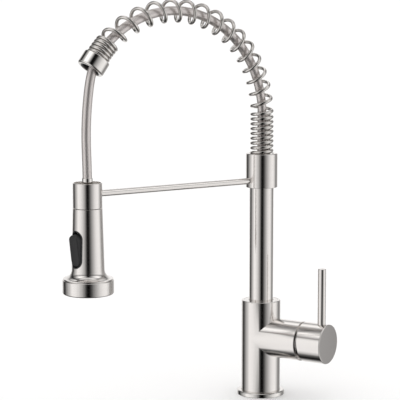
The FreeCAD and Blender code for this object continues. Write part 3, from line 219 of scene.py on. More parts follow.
def carved(shape, cutters, operation="DIFFERENCE"):
    """The shape with each cutter's volume taken out, or with only what they share left."""
    blank = as_object("blank", shape)
    tools = [as_object("cutter", cutter) for cutter in cutters]
    for tool in tools:
        cut = blank.modifiers.new("cut", "BOOLEAN")
        cut.operation = operation
        cut.solver = "EXACT"
        cut.object = tool
    mesh = evaluated(blank)
    result = bmesh.new()
    result.from_mesh(mesh)
    bmesh.ops.remove_doubles(result, verts=result.verts, dist=1e-7)
    bpy.data.meshes.remove(mesh)
    for spent in [blank] + tools:
        bpy.data.objects.remove(spent)
    return result


def finished(made, body, finish, nodes):
    """Shades a piece smooth between its sharp edges, gives it its finish and puts it on its body."""
    mesh = made.data
    mesh.polygons.foreach_set("use_smooth", [True] * len(mesh.polygons))
    mesh.set_sharp_from_angle(angle=math.radians(SMOOTH_BELOW))
    mesh.materials.clear()
    mesh.materials.append(finish)
    if body:
        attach(made, body)
    if nodes:
        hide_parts(*nodes)
    return made


def piece(name, shape, body, finish, nodes):
    made = finished(as_object(name, shape), body, finish, nodes)
    flats = made.modifiers.new("flat faces", "WEIGHTED_NORMAL")
    flats.keep_sharp = True
    return made


# ---------------------------------------------------------------------------------------------
# Finishes
# ---------------------------------------------------------------------------------------------


class Link:
    """An output of a node, usable in sums."""

    def __init__(self, nodes, socket):
        self.nodes = nodes
        self.socket = socket

    def sum(self, operation, first, second):
        return self.nodes.add("ShaderNodeMath", {"operation": operation}, {0: first, 1: second})

    def __add__(self, other):
        return self.sum("ADD", self, other)

    def __sub__(self, other):
        return self.sum("SUBTRACT", self, other)

    def __rsub__(self, other):
        return self.sum("SUBTRACT", other, self)

    def __mul__(self, other):
        return self.sum("MULTIPLY", self, other)

    __radd__ = __add__
    __rmul__ = __mul__


class Nodes:
    """The node tree of a material or of the world."""

    def __init__(self, owner):
        owner.use_nodes = True
        self.tree = owner.node_tree

    def add(self, kind, settings, inputs, output=0):
        made = self.tree.nodes.new(kind)
        for name, setting in settings.items():
            if name == "stops":
                self.set_stops(made.color_ramp, setting)
            else:
                setattr(made, name, setting)
        for name, given in inputs.items():
            self.feed(made, name, given)
        return Link(self, made.outputs[output])

    def feed(self, node, name, given):
        if isinstance(given, Link):
            self.tree.links.new(given.socket, node.inputs[name])
        else:
            node.inputs[name].default_value = given

    def set_stops(self, ramp, stops):
        ramp.interpolation = "EASE"
        while len(ramp.elements) < len(stops):
            ramp.elements.new(1.0)
        for element, (place, colour) in zip(ramp.elements, sorted(stops)):
            element.position = place
            element.color = (*colour, 1) if isinstance(colour, tuple) else (colour, colour, colour, 1)

    def place(self, stretch, lean=(0, 0, 0)):
        """Object coordinates, turned by lean and then stretched."""
        here = self.add("ShaderNodeTexCoord", {}, {}, "Object")
        turned_place = self.add("ShaderNodeMapping", {}, {"Vector": here, "Rotation": lean})
        return self.add("ShaderNodeMapping", {}, {"Vector": turned_place, "Scale": stretch})

    def noise(self, place, scale=1.0, detail=3.0, roughness=0.5):
        settings = {"noise_dimensions": "3D"}
        inputs = {"Vector": place, "Scale": scale, "Detail": detail, "Roughness": roughness}
        return self.add("ShaderNodeTexNoise", settings, inputs, "Fac")

    def tint(self, share, first, second):
        """A colour between two."""
        inputs = {"Factor": share, 6: (*first, 1), 7: (*second, 1)}
        return self.add("ShaderNodeMix", {"data_type": "RGBA"}, inputs, 2)

    def bump(self, height, distance, strength=1.0):
        return self.add("ShaderNodeBump", {}, {"Height": height, "Distance": distance, "Strength": strength})

    def ramp(self, share, stops):
        return self.add("ShaderNodeValToRGB", {"stops": stops}, {"Fac": share}, "Color")


def surface(name, constants, varying):
    """A material whose shader has these constants, and varying(nodes) for what changes over the surface."""
    material = bpy.data.materials.new(name)
    nodes = Nodes(material)
    shader = nodes.tree.nodes["Principled BSDF"]
    for socket, number in constants.items():
        shader.inputs[socket].default_value = number
    for socket, link in varying(nodes).items():
        nodes.feed(shader, socket, link)
    return material


NICKEL = (0.85, 0.825, 0.805)
NICKEL_WARM = (0.79, 0.755, 0.73)
GRAIN_ACROSS = 3800
GRAIN_ALONG = 70
BAND_ACROSS = 620


def brushed(name, lean=(0, 0, 0), smoothness=0.13):
    """Brushed nickel with its grain running round the axis that lean turns to Z."""

    def varying(nodes):
        grain = nodes.noise(nodes.place((GRAIN_ALONG, GRAIN_ALONG, GRAIN_ACROSS), lean), detail=2.0)
        bands = nodes.noise(nodes.place((18, 18, BAND_ACROSS), lean), detail=4.0, roughness=0.6)
        cloud = nodes.noise(nodes.place((9, 9, 9)), detail=2.0)
        scuffs = nodes.noise(nodes.place((160, 160, 420), lean), detail=5.0, roughness=0.7)
        return {
            "Base Color": nodes.tint(bands * 0.55 + cloud * 0.35, NICKEL, NICKEL_WARM),
            "Roughness": grain * 0.05 + bands * 0.05 + scuffs * 0.02 + (smoothness - 0.06),
            "Normal": nodes.bump(grain * 0.5 + bands, 0.00001, 0.45),
        }

    return surface(name, {"Metallic": 1.0, "IOR": 1.5}, varying)


def polished(name, bright, dull):
    def varying(nodes):
        haze = nodes.noise(nodes.place((60, 60, 60)), detail=4.0)
        swirl = nodes.noise(nodes.place((900, 900, 2600)), detail=2.0)
        return {
            "Base Color": nodes.tint(haze, bright, dull),
            "Roughness": haze * 0.04 + swirl * 0.02 + 0.03,
            "Normal": nodes.bump(haze, 0.00002, 0.12),
        }

    return surface(name, {"Metallic": 1.0, "IOR": 1.5}, varying)


def machined(name, low, high, rough):
    """A turned bare metal, with fine tool marks along Z."""

    def varying(nodes):
        marks = nodes.noise(nodes.place((40, 40, 2400)), detail=2.0)
        tarnish = nodes.noise(nodes.place((70, 70, 70)), detail=4.0)
        return {
            "Base Color": nodes.tint(tarnish, low, high),
            "Roughness": marks * 0.12 + tarnish * 0.1 + rough,
            "Normal": nodes.bump(marks, 0.00002, 0.3),
        }

    return surface(name, {"Metallic": 1.0}, varying)


def moulded(name, low, high, rough, grain=1500, depth=0.00002, constants=None):
    """Moulded plastic, rubber or ceramic with a fine skin texture."""

    def varying(nodes):
        skin = nodes.noise(nodes.place((grain, grain, grain)), detail=3.0)
        cloud = nodes.noise(nodes.place((45, 45, 45)), detail=3.0)
        return {
            "Base Color": nodes.tint(cloud, low, high),
            "Roughness": skin * 0.10 + cloud * 0.06 + rough,
            "Normal": nodes.bump(skin, depth, 0.5),
        }

    return surface(name, constants or {}, varying)


BRAID_ROUND = 26
BRAID_PER_METRE = 420


def braided(name, length):
    """A woven nylon sleeve: two families of threads that cross, following the hose's own UV map."""

    def varying(nodes):
        flat = nodes.add("ShaderNodeUVMap", {"uv_map": "UVMap"}, {})
        parts = nodes.tree.nodes.new("ShaderNodeSeparateXYZ")
        nodes.feed(parts, "Vector", flat)
        along = Link(nodes, parts.outputs["X"]) * (BRAID_PER_METRE * length)
        round_it = Link(nodes, parts.outputs["Y"]) * BRAID_ROUND
        full_turn = 2 * math.pi

        def threads(phase):
            return nodes.add("ShaderNodeMath", {"operation": "SINE"}, {0: phase * full_turn}) * 0.5 + 0.5

        left = threads(along * 0.5 + round_it * 0.5)
        right = threads(along * 0.5 - round_it * 0.5)
        over = nodes.add("ShaderNodeMath", {"operation": "MAXIMUM"}, {0: left, 1: right})
        streak = nodes.noise(nodes.add("ShaderNodeMapping", {}, {"Vector": flat, "Scale": (7, 24, 1)}),
                             detail=4.0)
        return {
            "Base Color": nodes.tint(over * 0.4 + streak * 0.6, (0.42, 0.385, 0.375), (0.86, 0.815, 0.795)),
            "Roughness": 0.30 - over * 0.08 + streak * 0.08,
            "Normal": nodes.bump(over * 0.5 + streak * 0.5, 0.00025, 0.6),
        }

    return surface(name, {"Metallic": 0.85}, varying)


BRUSHED = brushed("brushed nickel")
BRUSHED_ARM = brushed("brushed nickel along the arm", ARM.to_3x3().inverted().to_euler())
BRUSHED_ROD = brushed("brushed nickel along the rod", SPOUT_ARM.to_3x3().inverted().to_euler(), 0.10)
POLISHED = polished("polished nickel", (0.85, 0.83, 0.805), (0.79, 0.765, 0.74))
SPRING_FINISH = polished("polished spring wire", (0.76, 0.735, 0.71), (0.68, 0.655, 0.63))
BRASS = machined("brass", (0.72, 0.52, 0.24), (0.62, 0.43, 0.19), 0.2)
STEEL = machined("steel", (0.60, 0.60, 0.60), (0.52, 0.52, 0.53), 0.22)
ACETAL = moulded("acetal", (0.80, 0.80, 0.78), (0.74, 0.74, 0.72), 0.4)
GLOSS_BLACK = moulded("glossy black plastic", (0.010, 0.010, 0.011), (0.016, 0.016, 0.017), 0.10,
                      300, 0.00001, {"Coat Weight": 0.5})
CHARCOAL = moulded("charcoal button", (0.014, 0.014, 0.015), (0.022, 0.022, 0.023), 0.46, 2200, 0.00004,
                   {"Specular IOR Level": 0.45})
RUBBER = moulded("black rubber", (0.02, 0.02, 0.02), (0.035, 0.035, 0.035), 0.6)
SILICONE = moulded("grey silicone", (0.32, 0.32, 0.33), (0.26, 0.26, 0.27), 0.45, 1200, 0.00003,
                   {"Subsurface Weight": 0.05, "Subsurface Radius": (0.002, 0.002, 0.002)})
CERAMIC = moulded("alumina", (0.90, 0.89, 0.86), (0.85, 0.84, 0.81), 0.2)

FINISH_OF_SLOT = {
    "brushed_nickel": BRUSHED, "polished_nickel": POLISHED, "brass": BRASS, "steel": STEEL,
    "light_plastic": ACETAL, "black_plastic": GLOSS_BLACK, "button_plastic": CHARCOAL, "black_rubber": RUBBER,
    "grey_rubber": SILICONE, "ceramic": CERAMIC, "braided_hose": RUBBER,
}

# ---------------------------------------------------------------------------------------------
# Camera
# ---------------------------------------------------------------------------------------------

CAMERA_PLACE = Vector((0.9771, -1.6788, 0.4883))
CAMERA_WAY = Vector((-0.5335, 0.8458, 0))
CAMERA_DIP = 7.8
CAMERA_LENS = 156.65


def make_camera():
    camera = bpy.data.objects.new("camera", bpy.data.cameras.new("camera"))
    bpy.context.scene.collection.objects.link(camera)
    dip = math.radians(CAMERA_DIP)
    way = CAMERA_WAY.normalized() * math.cos(dip) - UP * math.sin(dip)
    camera.location = CAMERA_PLACE
    camera.rotation_euler = way.to_track_quat("-Z", "Y").to_euler()
    camera.data.lens = CAMERA_LENS
    camera.data.sensor_width = 36
    camera.data.clip_end = 200
    bpy.context.scene.camera = camera


# ---------------------------------------------------------------------------------------------
# Hose: up the column, round the arch inside the spring, and down into the spray head
# ---------------------------------------------------------------------------------------------

HOSE_DIA = 10
HOSE_FOOT = 16
HOSE_JOINT = 236.4
HOSE_LEAVES_ARCH = 42
NUT_MOUTH = 8
# Points (along the spout, height) that the hose's free stretch is bent through
HOSE_POINTS = [
    (205.7, 396.5), (213.9, 383.9), (218.9, 369.7), (222.3, 349.9), (224.7, 324), (225.2, 299), (224, 271),
]
ARCH_STEP = 12
COLUMN_STEP = 50.5


def hose_route():
    """The control points of the hose, in the spout's own plane: column, arch and free stretch."""
    points = [Vector((0, 0, HOSE_FOOT + COLUMN_STEP * step)) for step in range(7)]
    steps = round((90 + HOSE_LEAVES_ARCH) / ARCH_STEP)
    half = math.radians((90 + HOSE_LEAVES_ARCH) / steps / 2)
    for step in range(steps):
        corner = on_arch(-90 + (90 + HOSE_LEAVES_ARCH) * (step + 0.5) / steps)
        points.append(ARCH_CENTRE + (corner - ARCH_CENTRE) / math.cos(half))
    points += [Vector((along, 0, height)) for along, height in HOSE_POINTS]
    points.append(Vector((REACH, 0, HOSE_JOINT)))
    return [SPOUT @ (point * MM) for point in points]


def curve_of(points, order, thickness):
    """A curve through or along points; order 2 keeps to them and order 3 is smooth."""
    curve = bpy.data.curves.new("line", "CURVE")
    curve.dimensions = "3D"
    spline = curve.splines.new("POLY" if order == 2 else "NURBS")
    spline.points.add(len(points) - 1)
    for spot, point in zip(spline.points, points):
        spot.co = (*point, 1)
    if order == 3:
        spline.order_u = 3
        spline.use_endpoint_u = True
    curve.resolution_u = 10
    curve.bevel_depth = thickness / 2
    curve.bevel_resolution = 7
    curve.use_fill_caps = thickness > 0
    return curve


def mesh_of(curve):
    holder = bpy.data.objects.new("line", curve)
    mesh = bpy.data.meshes.new_from_object(holder)
    bpy.data.objects.remove(holder)
    bpy.data.curves.remove(curve)
    return mesh


def line_of(points):
    """Points read from the smooth line of the route."""
    return [vertex.co.copy() for vertex in mesh_of(curve_of(points, 3, 0)).vertices]


def hose_piece(name, line, body):
    mesh = mesh_of(curve_of(line, 2, HOSE_DIA * MM))
    mesh.name = name
    made = bpy.data.objects.new(name, mesh)
    bpy.context.scene.collection.objects.link(made)
    length = sum((b - a).length for a, b in zip(line, line[1:]))
    return finished(made, body, braided(name + " sleeve", length), ["spray_hose"]), length


def make_hose():
    line = line_of(hose_route())
    column_top = size("column_tube", SPOUT)[3] * MM
    nut_mouth = ARCH_TIP @ Vector((0, 0, NUT_MOUTH * MM))
    leaves_column = next(index for index, point in enumerate(line) if point.z > column_top)
    leaves_nut = min(range(len(line)), key=lambda index: (line[index] - nut_mouth).length)
    column = line[:leaves_column + 1]
    arch = line[leaves_column:leaves_nut + 1]
    drop = line[leaves_nut:]

    tail = hose_piece("hose_in_column", column, None)[0]
    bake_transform(tail)
    hose_piece("hose_in_spring", arch, "spout")
    hanging, length = hose_piece("hose_drop", drop, None)
    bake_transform(hanging)


# ---------------------------------------------------------------------------------------------
# Base and valve body
# ---------------------------------------------------------------------------------------------

BODY_EDGE = 1.0
HOSE_BORE = 6.2
STUD_HOLE_DEPTH = 16
GASKET_GROOVE = 0.1


def make_base():
    inner, outer, foot, top = size("base_ring", VALVE)
    gasket_in, gasket_out, gasket_foot, gasket_top = size("deck_gasket", VALVE)
    groove_in, groove_out = gasket_in - GASKET_GROOVE, gasket_out + GASKET_GROOVE
    groove_top = gasket_top + GASKET_GROOVE
    ring = turned([
        (inner, foot), (groove_in, foot), (groove_in, groove_top), (groove_out, groove_top),
        (groove_out, foot), (outer, foot, 0.8), (outer, top, 1.8), (inner, top, 0.25),
    ])
    piece("base_trim_ring", ring, "valve", POLISHED, ["base_ring"])
    gasket = turned(tube(gasket_in, gasket_out, gasket_foot, gasket_top, 0.4))
    piece("base_gasket", gasket, "valve", RUBBER, ["deck_gasket"])


def crossing_cylinders(radius, foot, top, reach, edge):
    """An upright cylinder and a side arm of the same radius, mitred where they meet."""
    upright = turned([(0, foot), (radius, foot, 0.4), (radius, top, edge), (0, top)])
    arm = turned([(0, 0), (radius, 0), (radius, reach, 0.4), (0, reach)], ARM)
    cross = Vector((0, 0, arm_height * MM))
    for shape in (upright, arm):
        for side in (1, -1):
            everything = shape.verts[:] + shape.edges[:] + shape.faces[:]
            bmesh.ops.bisect_plane(shape, geom=everything, plane_co=cross,
                                   plane_no=Vector((1, 0, side)).normalized(), dist=1e-7)

    def drop_faces(shape, unwanted):
        faces = [face for face in shape.faces if unwanted(face.calc_center_median() - cross)]
        bmesh.ops.delete(shape, geom=faces, context="FACES")

    drop_faces(upright, lambda at: at.x > abs(at.z))
    drop_faces(arm, lambda at: at.x < abs(at.z))
    whole = joined([upright, arm])
    bmesh.ops.remove_doubles(whole, verts=whole.verts, dist=2e-6)
    bmesh.ops.recalc_face_normals(whole, faces=whole.faces)
    return whole


def make_valve_body():
    radius = size("handle_cap", ARM)[1] - 0.1
    body_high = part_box("valve_body")[1]
    top = body_high.z / MM
    reach = body_high.x / MM
    bush_out = size("upper_swivel_bush", VALVE)[1] + CLEARANCE
    swivel_floor = size("column_tube", SPOUT)[2] - 1
    gland_out, gland_foot = size("gland_ring", VALVE)[1:3]
    cavity = size("cartridge_nut", ARM)[1] + CLEARANCE
    cavity_floor = size("cartridge_seals", ARM)[2]
    cutters = [
        drill(cavity, cavity_floor, reach + 5, ARM, TURN_STEPS),
        drill(bush_out, swivel_floor, top + 5, VALVE, TURN_STEPS),
        drill(gland_out + CLEARANCE, gland_foot, top + 6, VALVE, TURN_STEPS),
        drill(HOSE_BORE, -5, swivel_floor + 3, VALVE),
    ]
    for mount in frame["record"]["mounts"]:
        x, y = mount["pos_m"][0] / MM, mount["pos_m"][1] / MM
        if mount["kind"] == "threaded_hole" and (x or y):
            cutters.append(drill(mount["dims"]["r_mm"], -5, mount["dims"]["length_mm"], shift(x, y, 0)))
        if mount["kind"] == "bolt_pattern":
            for side in (-0.5, 0.5):
                place = shift(x, y + side * mount["dims"]["spacing_y_mm"], 0)
                cutters.append(drill(mount["dims"]["hole_r_mm"], -5, STUD_HOLE_DEPTH, place))
    body = carved(crossing_cylinders(radius, 0, top, reach, BODY_EDGE), cutters)
    piece("body_casting", body, "valve", BRUSHED, ["valve_body"])


def make_round(name, node, place, body, finish, edge=0.3):
    """A plain ring or tube, as smooth as the real one."""
    inner, outer, foot, top = size(node, place)
    piece(name, turned(tube(inner, outer, foot, top, edge), place), body, finish, [node])


DOME_RADIUS = 7.5
DOME_RIM = 1.3


def make_cartridge_front():
    foot_in, outer, foot, top = size("trim_dome", ARM)
    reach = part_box("valve_body")[1].x / MM
    spigot = size("cartridge_nut", ARM)[1] - CLEARANCE
    seat = reach + CLEARANCE
    dome = turned([
        (foot_in, foot), (spigot, foot), (spigot, seat), (outer, seat), (outer, reach + DOME_RIM),
        *arc((outer - DOME_RADIUS, top - DOME_RADIUS + 0.55), DOME_RADIUS, 12, 68, 7),
        (foot_in + 1, top, 0.3), (foot_in, top, 0.3),
    ], ARM)
    piece("cartridge_dome", dome, "valve", BRUSHED_ARM, ["trim_dome"])


# ---------------------------------------------------------------------------------------------
# Handle
# ---------------------------------------------------------------------------------------------

CAP_EDGE = 0.9
CAP_WALL = 1.7
CAP_FLOOR = 72
CAP_BOSS = 9
CAP_BOSS_FROM = 66.5
CAP_SLANT = 5
CAP_REAR = 58.4
STEM_SQUARE = 8
GRUB_AT = 70
GRUB_RADIUS = 2.5


def make_handle():
    outer, low, face = size("handle_cap", ARM)[1:]
    hollow = outer - CAP_WALL
    lever_foot, lever_top = lever_low.z / MM, lever_high.z / MM
    lever_radius = (lever_high.x - lever_low.x) / 2 / MM
    shell = turned([
        (hollow, low - 4), (outer, low - 4), (outer, face, CAP_EDGE), (0, face), (0, CAP_BOSS_FROM),
        (CAP_BOSS, CAP_BOSS_FROM, 0.4), (CAP_BOSS, CAP_FLOOR, 0.6), (hollow, CAP_FLOOR, 0.8),
    ], ARM, 128)
    half = STEM_SQUARE / 2
    slant = ARM @ shift(0, 0, CAP_REAR) @ turn(-CAP_SLANT, "Y")
    cap = carved(shell, [
        box((-60, -60, -30), (60, 60, 0), slant),
        box((-half, -half, CAP_BOSS_FROM - 1), (half, half, CAP_FLOOR), ARM),
        drill(lever_radius + CLEARANCE, lever_foot, lever_top, LEVER),
        drill(GRUB_RADIUS + CLEARANCE, -30, -3, shift(GRUB_AT, 0, arm_height)),
    ])
    piece("handle_cover", cap, "handle", BRUSHED_ARM, ["handle_cap"])
    piece("handle_lever", bar(lever_radius, lever_foot, lever_top, LEVER, 0.7, 64), "handle", BRUSHED,
          ["lever_rod"])
    plug_low, plug_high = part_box("screw_plug")
    plug = turned([
        (0, plug_low.z / MM), (GRUB_RADIUS - 0.2, plug_low.z / MM, 0.3), (GRUB_RADIUS, plug_high.z / MM),
        (0, plug_high.z / MM),
    ], shift(GRUB_AT, 0, 0), 32)
    piece("handle_plug", plug, "handle", GLOSS_BLACK, ["screw_plug"])


# ---------------------------------------------------------------------------------------------
# Column, collar, rod and holder
# ---------------------------------------------------------------------------------------------


def make_column():
    inner, outer, foot, top = size("column_tube", SPOUT)
    groove = size("snap_ring", SPOUT)[0] - CLEARANCE
    groove_foot, groove_top = size("snap_ring", SPOUT)[2:]
    groove_foot -= 0.03
    groove_top += 0.03
    tube_shape = turned([
        (inner, foot, 0.3), (outer, foot, 0.3), (outer, groove_foot), (groove, groove_foot),
        (groove, groove_top), (outer, groove_top), (outer, top, 0.3), (inner, top, 0.3),
    ], SPOUT)
    piece("column", tube_shape, "spout", BRUSHED, ["column_tube"])


GUIDE_FLANGE = 1.6
GUIDE_SPIGOT = 9
LINER_LIP = 1.2


def along_spout(node, degrees):
    """A small bar's radius, and its place lying in the spout's plane at its own height."""
    low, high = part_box(node)
    return (high.z - low.z) / 2 / MM, SPOUT @ shift(0, 0, (low.z + high.z) / 2 / MM) @ turn(degrees, "Y")


def make_collar_and_rod():
    outer = size("column_tube", SPOUT)[1] + CLEARANCE
    collar_out, collar_foot, collar_top = size("collar", SPOUT)[1:]
    guide_in, flange, web_foot, guide_top = size("hose_guide_bush", SPOUT)
    seat = flange + 0.1
    web_top = guide_top - GUIDE_FLANGE
    web_in = GUIDE_SPIGOT + CLEARANCE
    rod_radius, rod_place = along_spout("support_rod", 90)
    rod_foot, rod_tip = size("support_rod", rod_place)[2:]
    screw_radius, screw_place = along_spout("collar_screw", -90)
    screw_foot, screw_tip = size("collar_screw", screw_place)[2:]
    collar = turned([
        (outer, collar_foot, 0.3), (collar_out, collar_foot, 0.6), (collar_out, collar_top, 1.1),
        (seat, collar_top, 0.5), (seat, web_top), (web_in, web_top), (web_in, web_foot), (outer, web_foot),
    ], SPOUT, 128)
    collar = carved(collar, [
        drill(rod_radius + CLEARANCE, rod_foot, collar_out + 5, rod_place),
        drill(screw_radius + CLEARANCE, outer - CLEARANCE, collar_out + 5, screw_place),
    ])
    piece("upper_collar", collar, "spout", BRUSHED, ["collar"])
    screw = carved(bar(screw_radius, screw_foot, screw_tip, screw_place, 0.3, 32), [
        turned([(0, screw_tip - 1.6), (1.15, screw_tip - 1.6), (1.15, screw_tip + 1), (0, screw_tip + 1)],
               screw_place, 6),
    ])
    piece("collar_grub_screw", screw, "spout", STEEL, ["collar_screw"])
    piece("holder_rod", bar(rod_radius, rod_foot, rod_tip, rod_place, 0.3, 64), "spout", BRUSHED_ROD,
          ["support_rod"])

    inner, outer, foot, top = size("holder_ring", HOLDER)
    liner_in, lip = size("holder_liner", HOLDER)[:2]
    liner_top = size("holder_liner", HOLDER)[3]
    liner_foot = foot + 0.4
    recess = liner_top - LINER_LIP
    ring = turned([
        (inner, foot, 0.3), (outer, foot, 0.25), (outer, top, 0.5), (lip + 0.1, top, 0.3),
        (lip + 0.1, recess), (inner, recess),
    ], HOLDER, 128)
    ring = carved(ring, [drill(rod_radius + CLEARANCE, 5, rod_tip, rod_place)])
    piece("spray_holder", ring, "spout", BRUSHED, ["holder_ring"])
    liner_out = inner - CLEARANCE
    liner = turned([
        (liner_in, liner_foot, 0.3), (liner_out, liner_foot, 0.3), (liner_out, recess), (lip, recess),
        (lip, liner_top, 0.3), (liner_in, liner_top, 0.5),
    ], HOLDER)
    piece("spray_holder_liner", liner, "spout", ACETAL, ["holder_liner"])
    guide = turned([
        (guide_in, web_foot), (GUIDE_SPIGOT, web_foot), (GUIDE_SPIGOT, web_top), (flange, web_top),
        (flange, guide_top, 0.3), (guide_in, guide_top, 0.3),
    ], SPOUT)
    piece("hose_guide", guide, "spout", GLOSS_BLACK, ["hose_guide_bush"])


# ---------------------------------------------------------------------------------------------
# Spring and its end nut
# ---------------------------------------------------------------------------------------------

SPRING_START = 265.75
SPRING_WIRE = 3.9
SPRING_DIA = 26.4
SPRING_NUT_DEPTH = 7.9
TIGHT_PITCH = 5.4
OPEN_PITCH_FIRST = 14
OPEN_PITCH_TOP = 19.5
CLOSED_PITCH = 4.0
OPEN_FROM = 4
OPEN_UNTIL = 131.5
CLOSED_FROM = 134.5
COIL_STEPS = 40
NUT_BORE = 13.3


def between(low, high, share):
    return low + (high - low) * min(max(share, 0), 1)


def coil_pitch(along):
    """The spring's pitch: tight on the column, opening over the arch, and closed at the nut."""
    degrees = math.degrees((along - (ARCH_FOOT - SPRING_START)) / ARCH_RADIUS)
    if degrees < OPEN_FROM:
        return between(TIGHT_PITCH, OPEN_PITCH_FIRST, degrees / OPEN_FROM)
    if degrees < OPEN_UNTIL:
        return between(OPEN_PITCH_FIRST, OPEN_PITCH_TOP, (degrees - OPEN_FROM) / (90 - OPEN_FROM))
    return between(OPEN_PITCH_TOP, CLOSED_PITCH, (degrees - OPEN_UNTIL) / (CLOSED_FROM - OPEN_UNTIL))


def spring_point(along, turned_by):
    """A point of the wire's centre line at a length along the arch and an angle round it."""
    rise = ARCH_FOOT - SPRING_START
    sweep = math.radians(90 + ARCH_END)
    angle = min(max((along - rise) / ARCH_RADIUS, 0), sweep)
    heading = Vector((math.sin(angle), 0, math.cos(angle)))
    middle = on_arch(math.degrees(angle) - 90)
    beyond = along - rise - ARCH_RADIUS * angle
    outward = Vector((heading.z, 0, -heading.x)) * math.cos(turned_by) + Vector((0, math.sin(turned_by), 0))
    return middle + heading * beyond + outward * (SPRING_DIA - SPRING_WIRE) / 2


def make_spring():
    length = ARCH_FOOT - SPRING_START + ARCH_RADIUS * math.radians(90 + ARCH_END) + SPRING_NUT_DEPTH
    along = 0.0
    turned_by = 0.0
    points = []
    while along < length:
        points.append(SPOUT @ (spring_point(along, turned_by) * MM))
        along += coil_pitch(along + coil_pitch(along) / COIL_STEPS / 2) / COIL_STEPS
        turned_by += 2 * math.pi / COIL_STEPS
    curve = curve_of(points, 2, SPRING_WIRE * MM)
    curve.bevel_resolution = 4
    mesh = mesh_of(curve)
    mesh.name = "arch_spring"
    made = bpy.data.objects.new("arch_spring", mesh)
    bpy.context.scene.collection.objects.link(made)
    finished(made, "spout", SPRING_FINISH, ["spring"])


def make_end_nut():
    outer, foot, top = size("end_nut", ARCH_TIP)[1:]
    liner_in, liner_out, web, liner_top = size("nut_liner", ARCH_TIP)
    liner_bore = liner_out + CLEARANCE
    nut = turned([
        (NUT_BORE, foot, 0.3), (outer, foot, 0.9), (outer, top, 2.0), (liner_bore, top, 0.4),
        (liner_bore, web), (NUT_BORE, web),
    ], ARCH_TIP, 128)
    piece("spring_end_nut", nut, "spout", POLISHED, ["end_nut"])
    liner = turned([
        (liner_in, web), (liner_out, web), (liner_out, liner_top, 0.3), (liner_in, liner_top, 1.0),
    ], ARCH_TIP)
    piece("spring_nut_liner", liner, "spout", GLOSS_BLACK, ["nut_liner"])


# ---------------------------------------------------------------------------------------------
# Spray head
# ---------------------------------------------------------------------------------------------

FLARE_RADIUS = 9.5
WAIST_AT = 164
WAIST_RADIUS = 17.6
FLARE_AT = 155.6
NECK_RADIUS = 10.9
NECK_BORE = 6.2
SHOULDER_RADIUS = 15.8
SHOULDER_WALL = 3
SHELL_WALL = 2
SHELL_RIM = 1.4
WALL_RINGS = 26
HOLDER_GAP = 0.5

ROCKER_CENTRE = joint("mode_rocker")["pos_m"][2] / MM
OPENING_LENGTH = 40.7
OPENING_WIDTH = 17.4
BEZEL_WALL = 1.2
BEZEL_BACK = 10.4
BEZEL_PROUD = 0.3
ROCKER_LENGTH = 35
ROCKER_SHIFT = -0.9
ROCKER_GAP = 0.45
ROCKER_PROUD = 4.6
ROCKER_BACK = 10.7
ROCKER_NOSE = 5
ROCKER_TOE = 3
ROCKER_CROWN = 0.9
ROCKER_EDGE = 1.3


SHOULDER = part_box("holder_ring")[0].z / MM - HOLDER_GAP
ROCKER_PIN = HEAD @ shift(12.5, 0, ROCKER_CENTRE) @ turn(90, "X")
PIN_HOLE = 1.05


def wall_radius(height):
    """The outside radius of the head's tapered wall."""
    return between(WAIST_RADIUS, SHOULDER_RADIUS, (height - WAIST_AT) / (SHOULDER - WAIST_AT))


def oval(length, width, count=14):
    """A long rounded outline about the rocker's height, as (across, height) points."""
    straight = (length - width) / 2
    radius = width / 2
    points = []
    for end, first in ((1, 0), (-1, 180)):
        for step in range(count + 1):
            angle = math.radians(first + 180 * step / count)
            points.append((radius * math.cos(angle), end * straight + radius * math.sin(angle)))
    return points


def make_head_shell():
    flare, foot, neck_top = size("head_shell", HEAD)[1:]
    ceiling = SHOULDER - SHOULDER_WALL
    chord = Vector((WAIST_RADIUS - flare, WAIST_AT - FLARE_AT))
    rise = math.sqrt(FLARE_RADIUS ** 2 - (chord.length / 2) ** 2)
    across = Vector((chord.y, -chord.x)).normalized()
    middle = Vector((flare, FLARE_AT)) + chord / 2 + across * rise
    first = math.degrees(math.atan2(FLARE_AT - middle.y, flare - middle.x))
    last = math.degrees(math.atan2(WAIST_AT - middle.y, WAIST_RADIUS - middle.x))
    if last > first:
        last -= 360
    flare_arc = arc(middle, FLARE_RADIUS, first, last, 14)
    step = (SHOULDER - 0.4 - WAIST_AT) / WALL_RINGS
    wall = [(wall_radius(WAIST_AT + step * ring), WAIST_AT + step * ring) for ring in range(1, WALL_RINGS)]
    shell = turned([
        (flare - SHELL_WALL, foot), (flare, foot, 0.25), *flare_arc, *wall,
        (SHOULDER_RADIUS, SHOULDER, 0.25), (NECK_RADIUS, SHOULDER), (NECK_RADIUS, neck_top, 0.6),
        (NECK_BORE, neck_top, 0.3), (NECK_BORE, ceiling), (SHOULDER_RADIUS - SHELL_WALL, ceiling),
        (WAIST_RADIUS - SHELL_WALL, WAIST_AT), (WAIST_RADIUS - SHELL_WALL, foot + SHELL_RIM),
        (flare - SHELL_WALL, foot + SHELL_RIM),
    ], HEAD, 144)
    loops = [[(x, y, ROCKER_CENTRE + z) for y, z in oval(OPENING_LENGTH, OPENING_WIDTH)] for x in (9, 30)]
    shell = carved(shell, [skinned(loops, HEAD)])
    piece("spray_head_casing", shell, "spray_head", BRUSHED, ["head_shell"])


# Round the bezel's section, as (distance in from the opening, height above the wall or None for its back)
BEZEL_SECTION = [
    (0.05, None), (0.05, -0.05), (0.15, 0.2), (0.35, 0.3), (0.8, 0.3), (1.05, 0.2), (1.2, -0.05), (1.2, None),
]


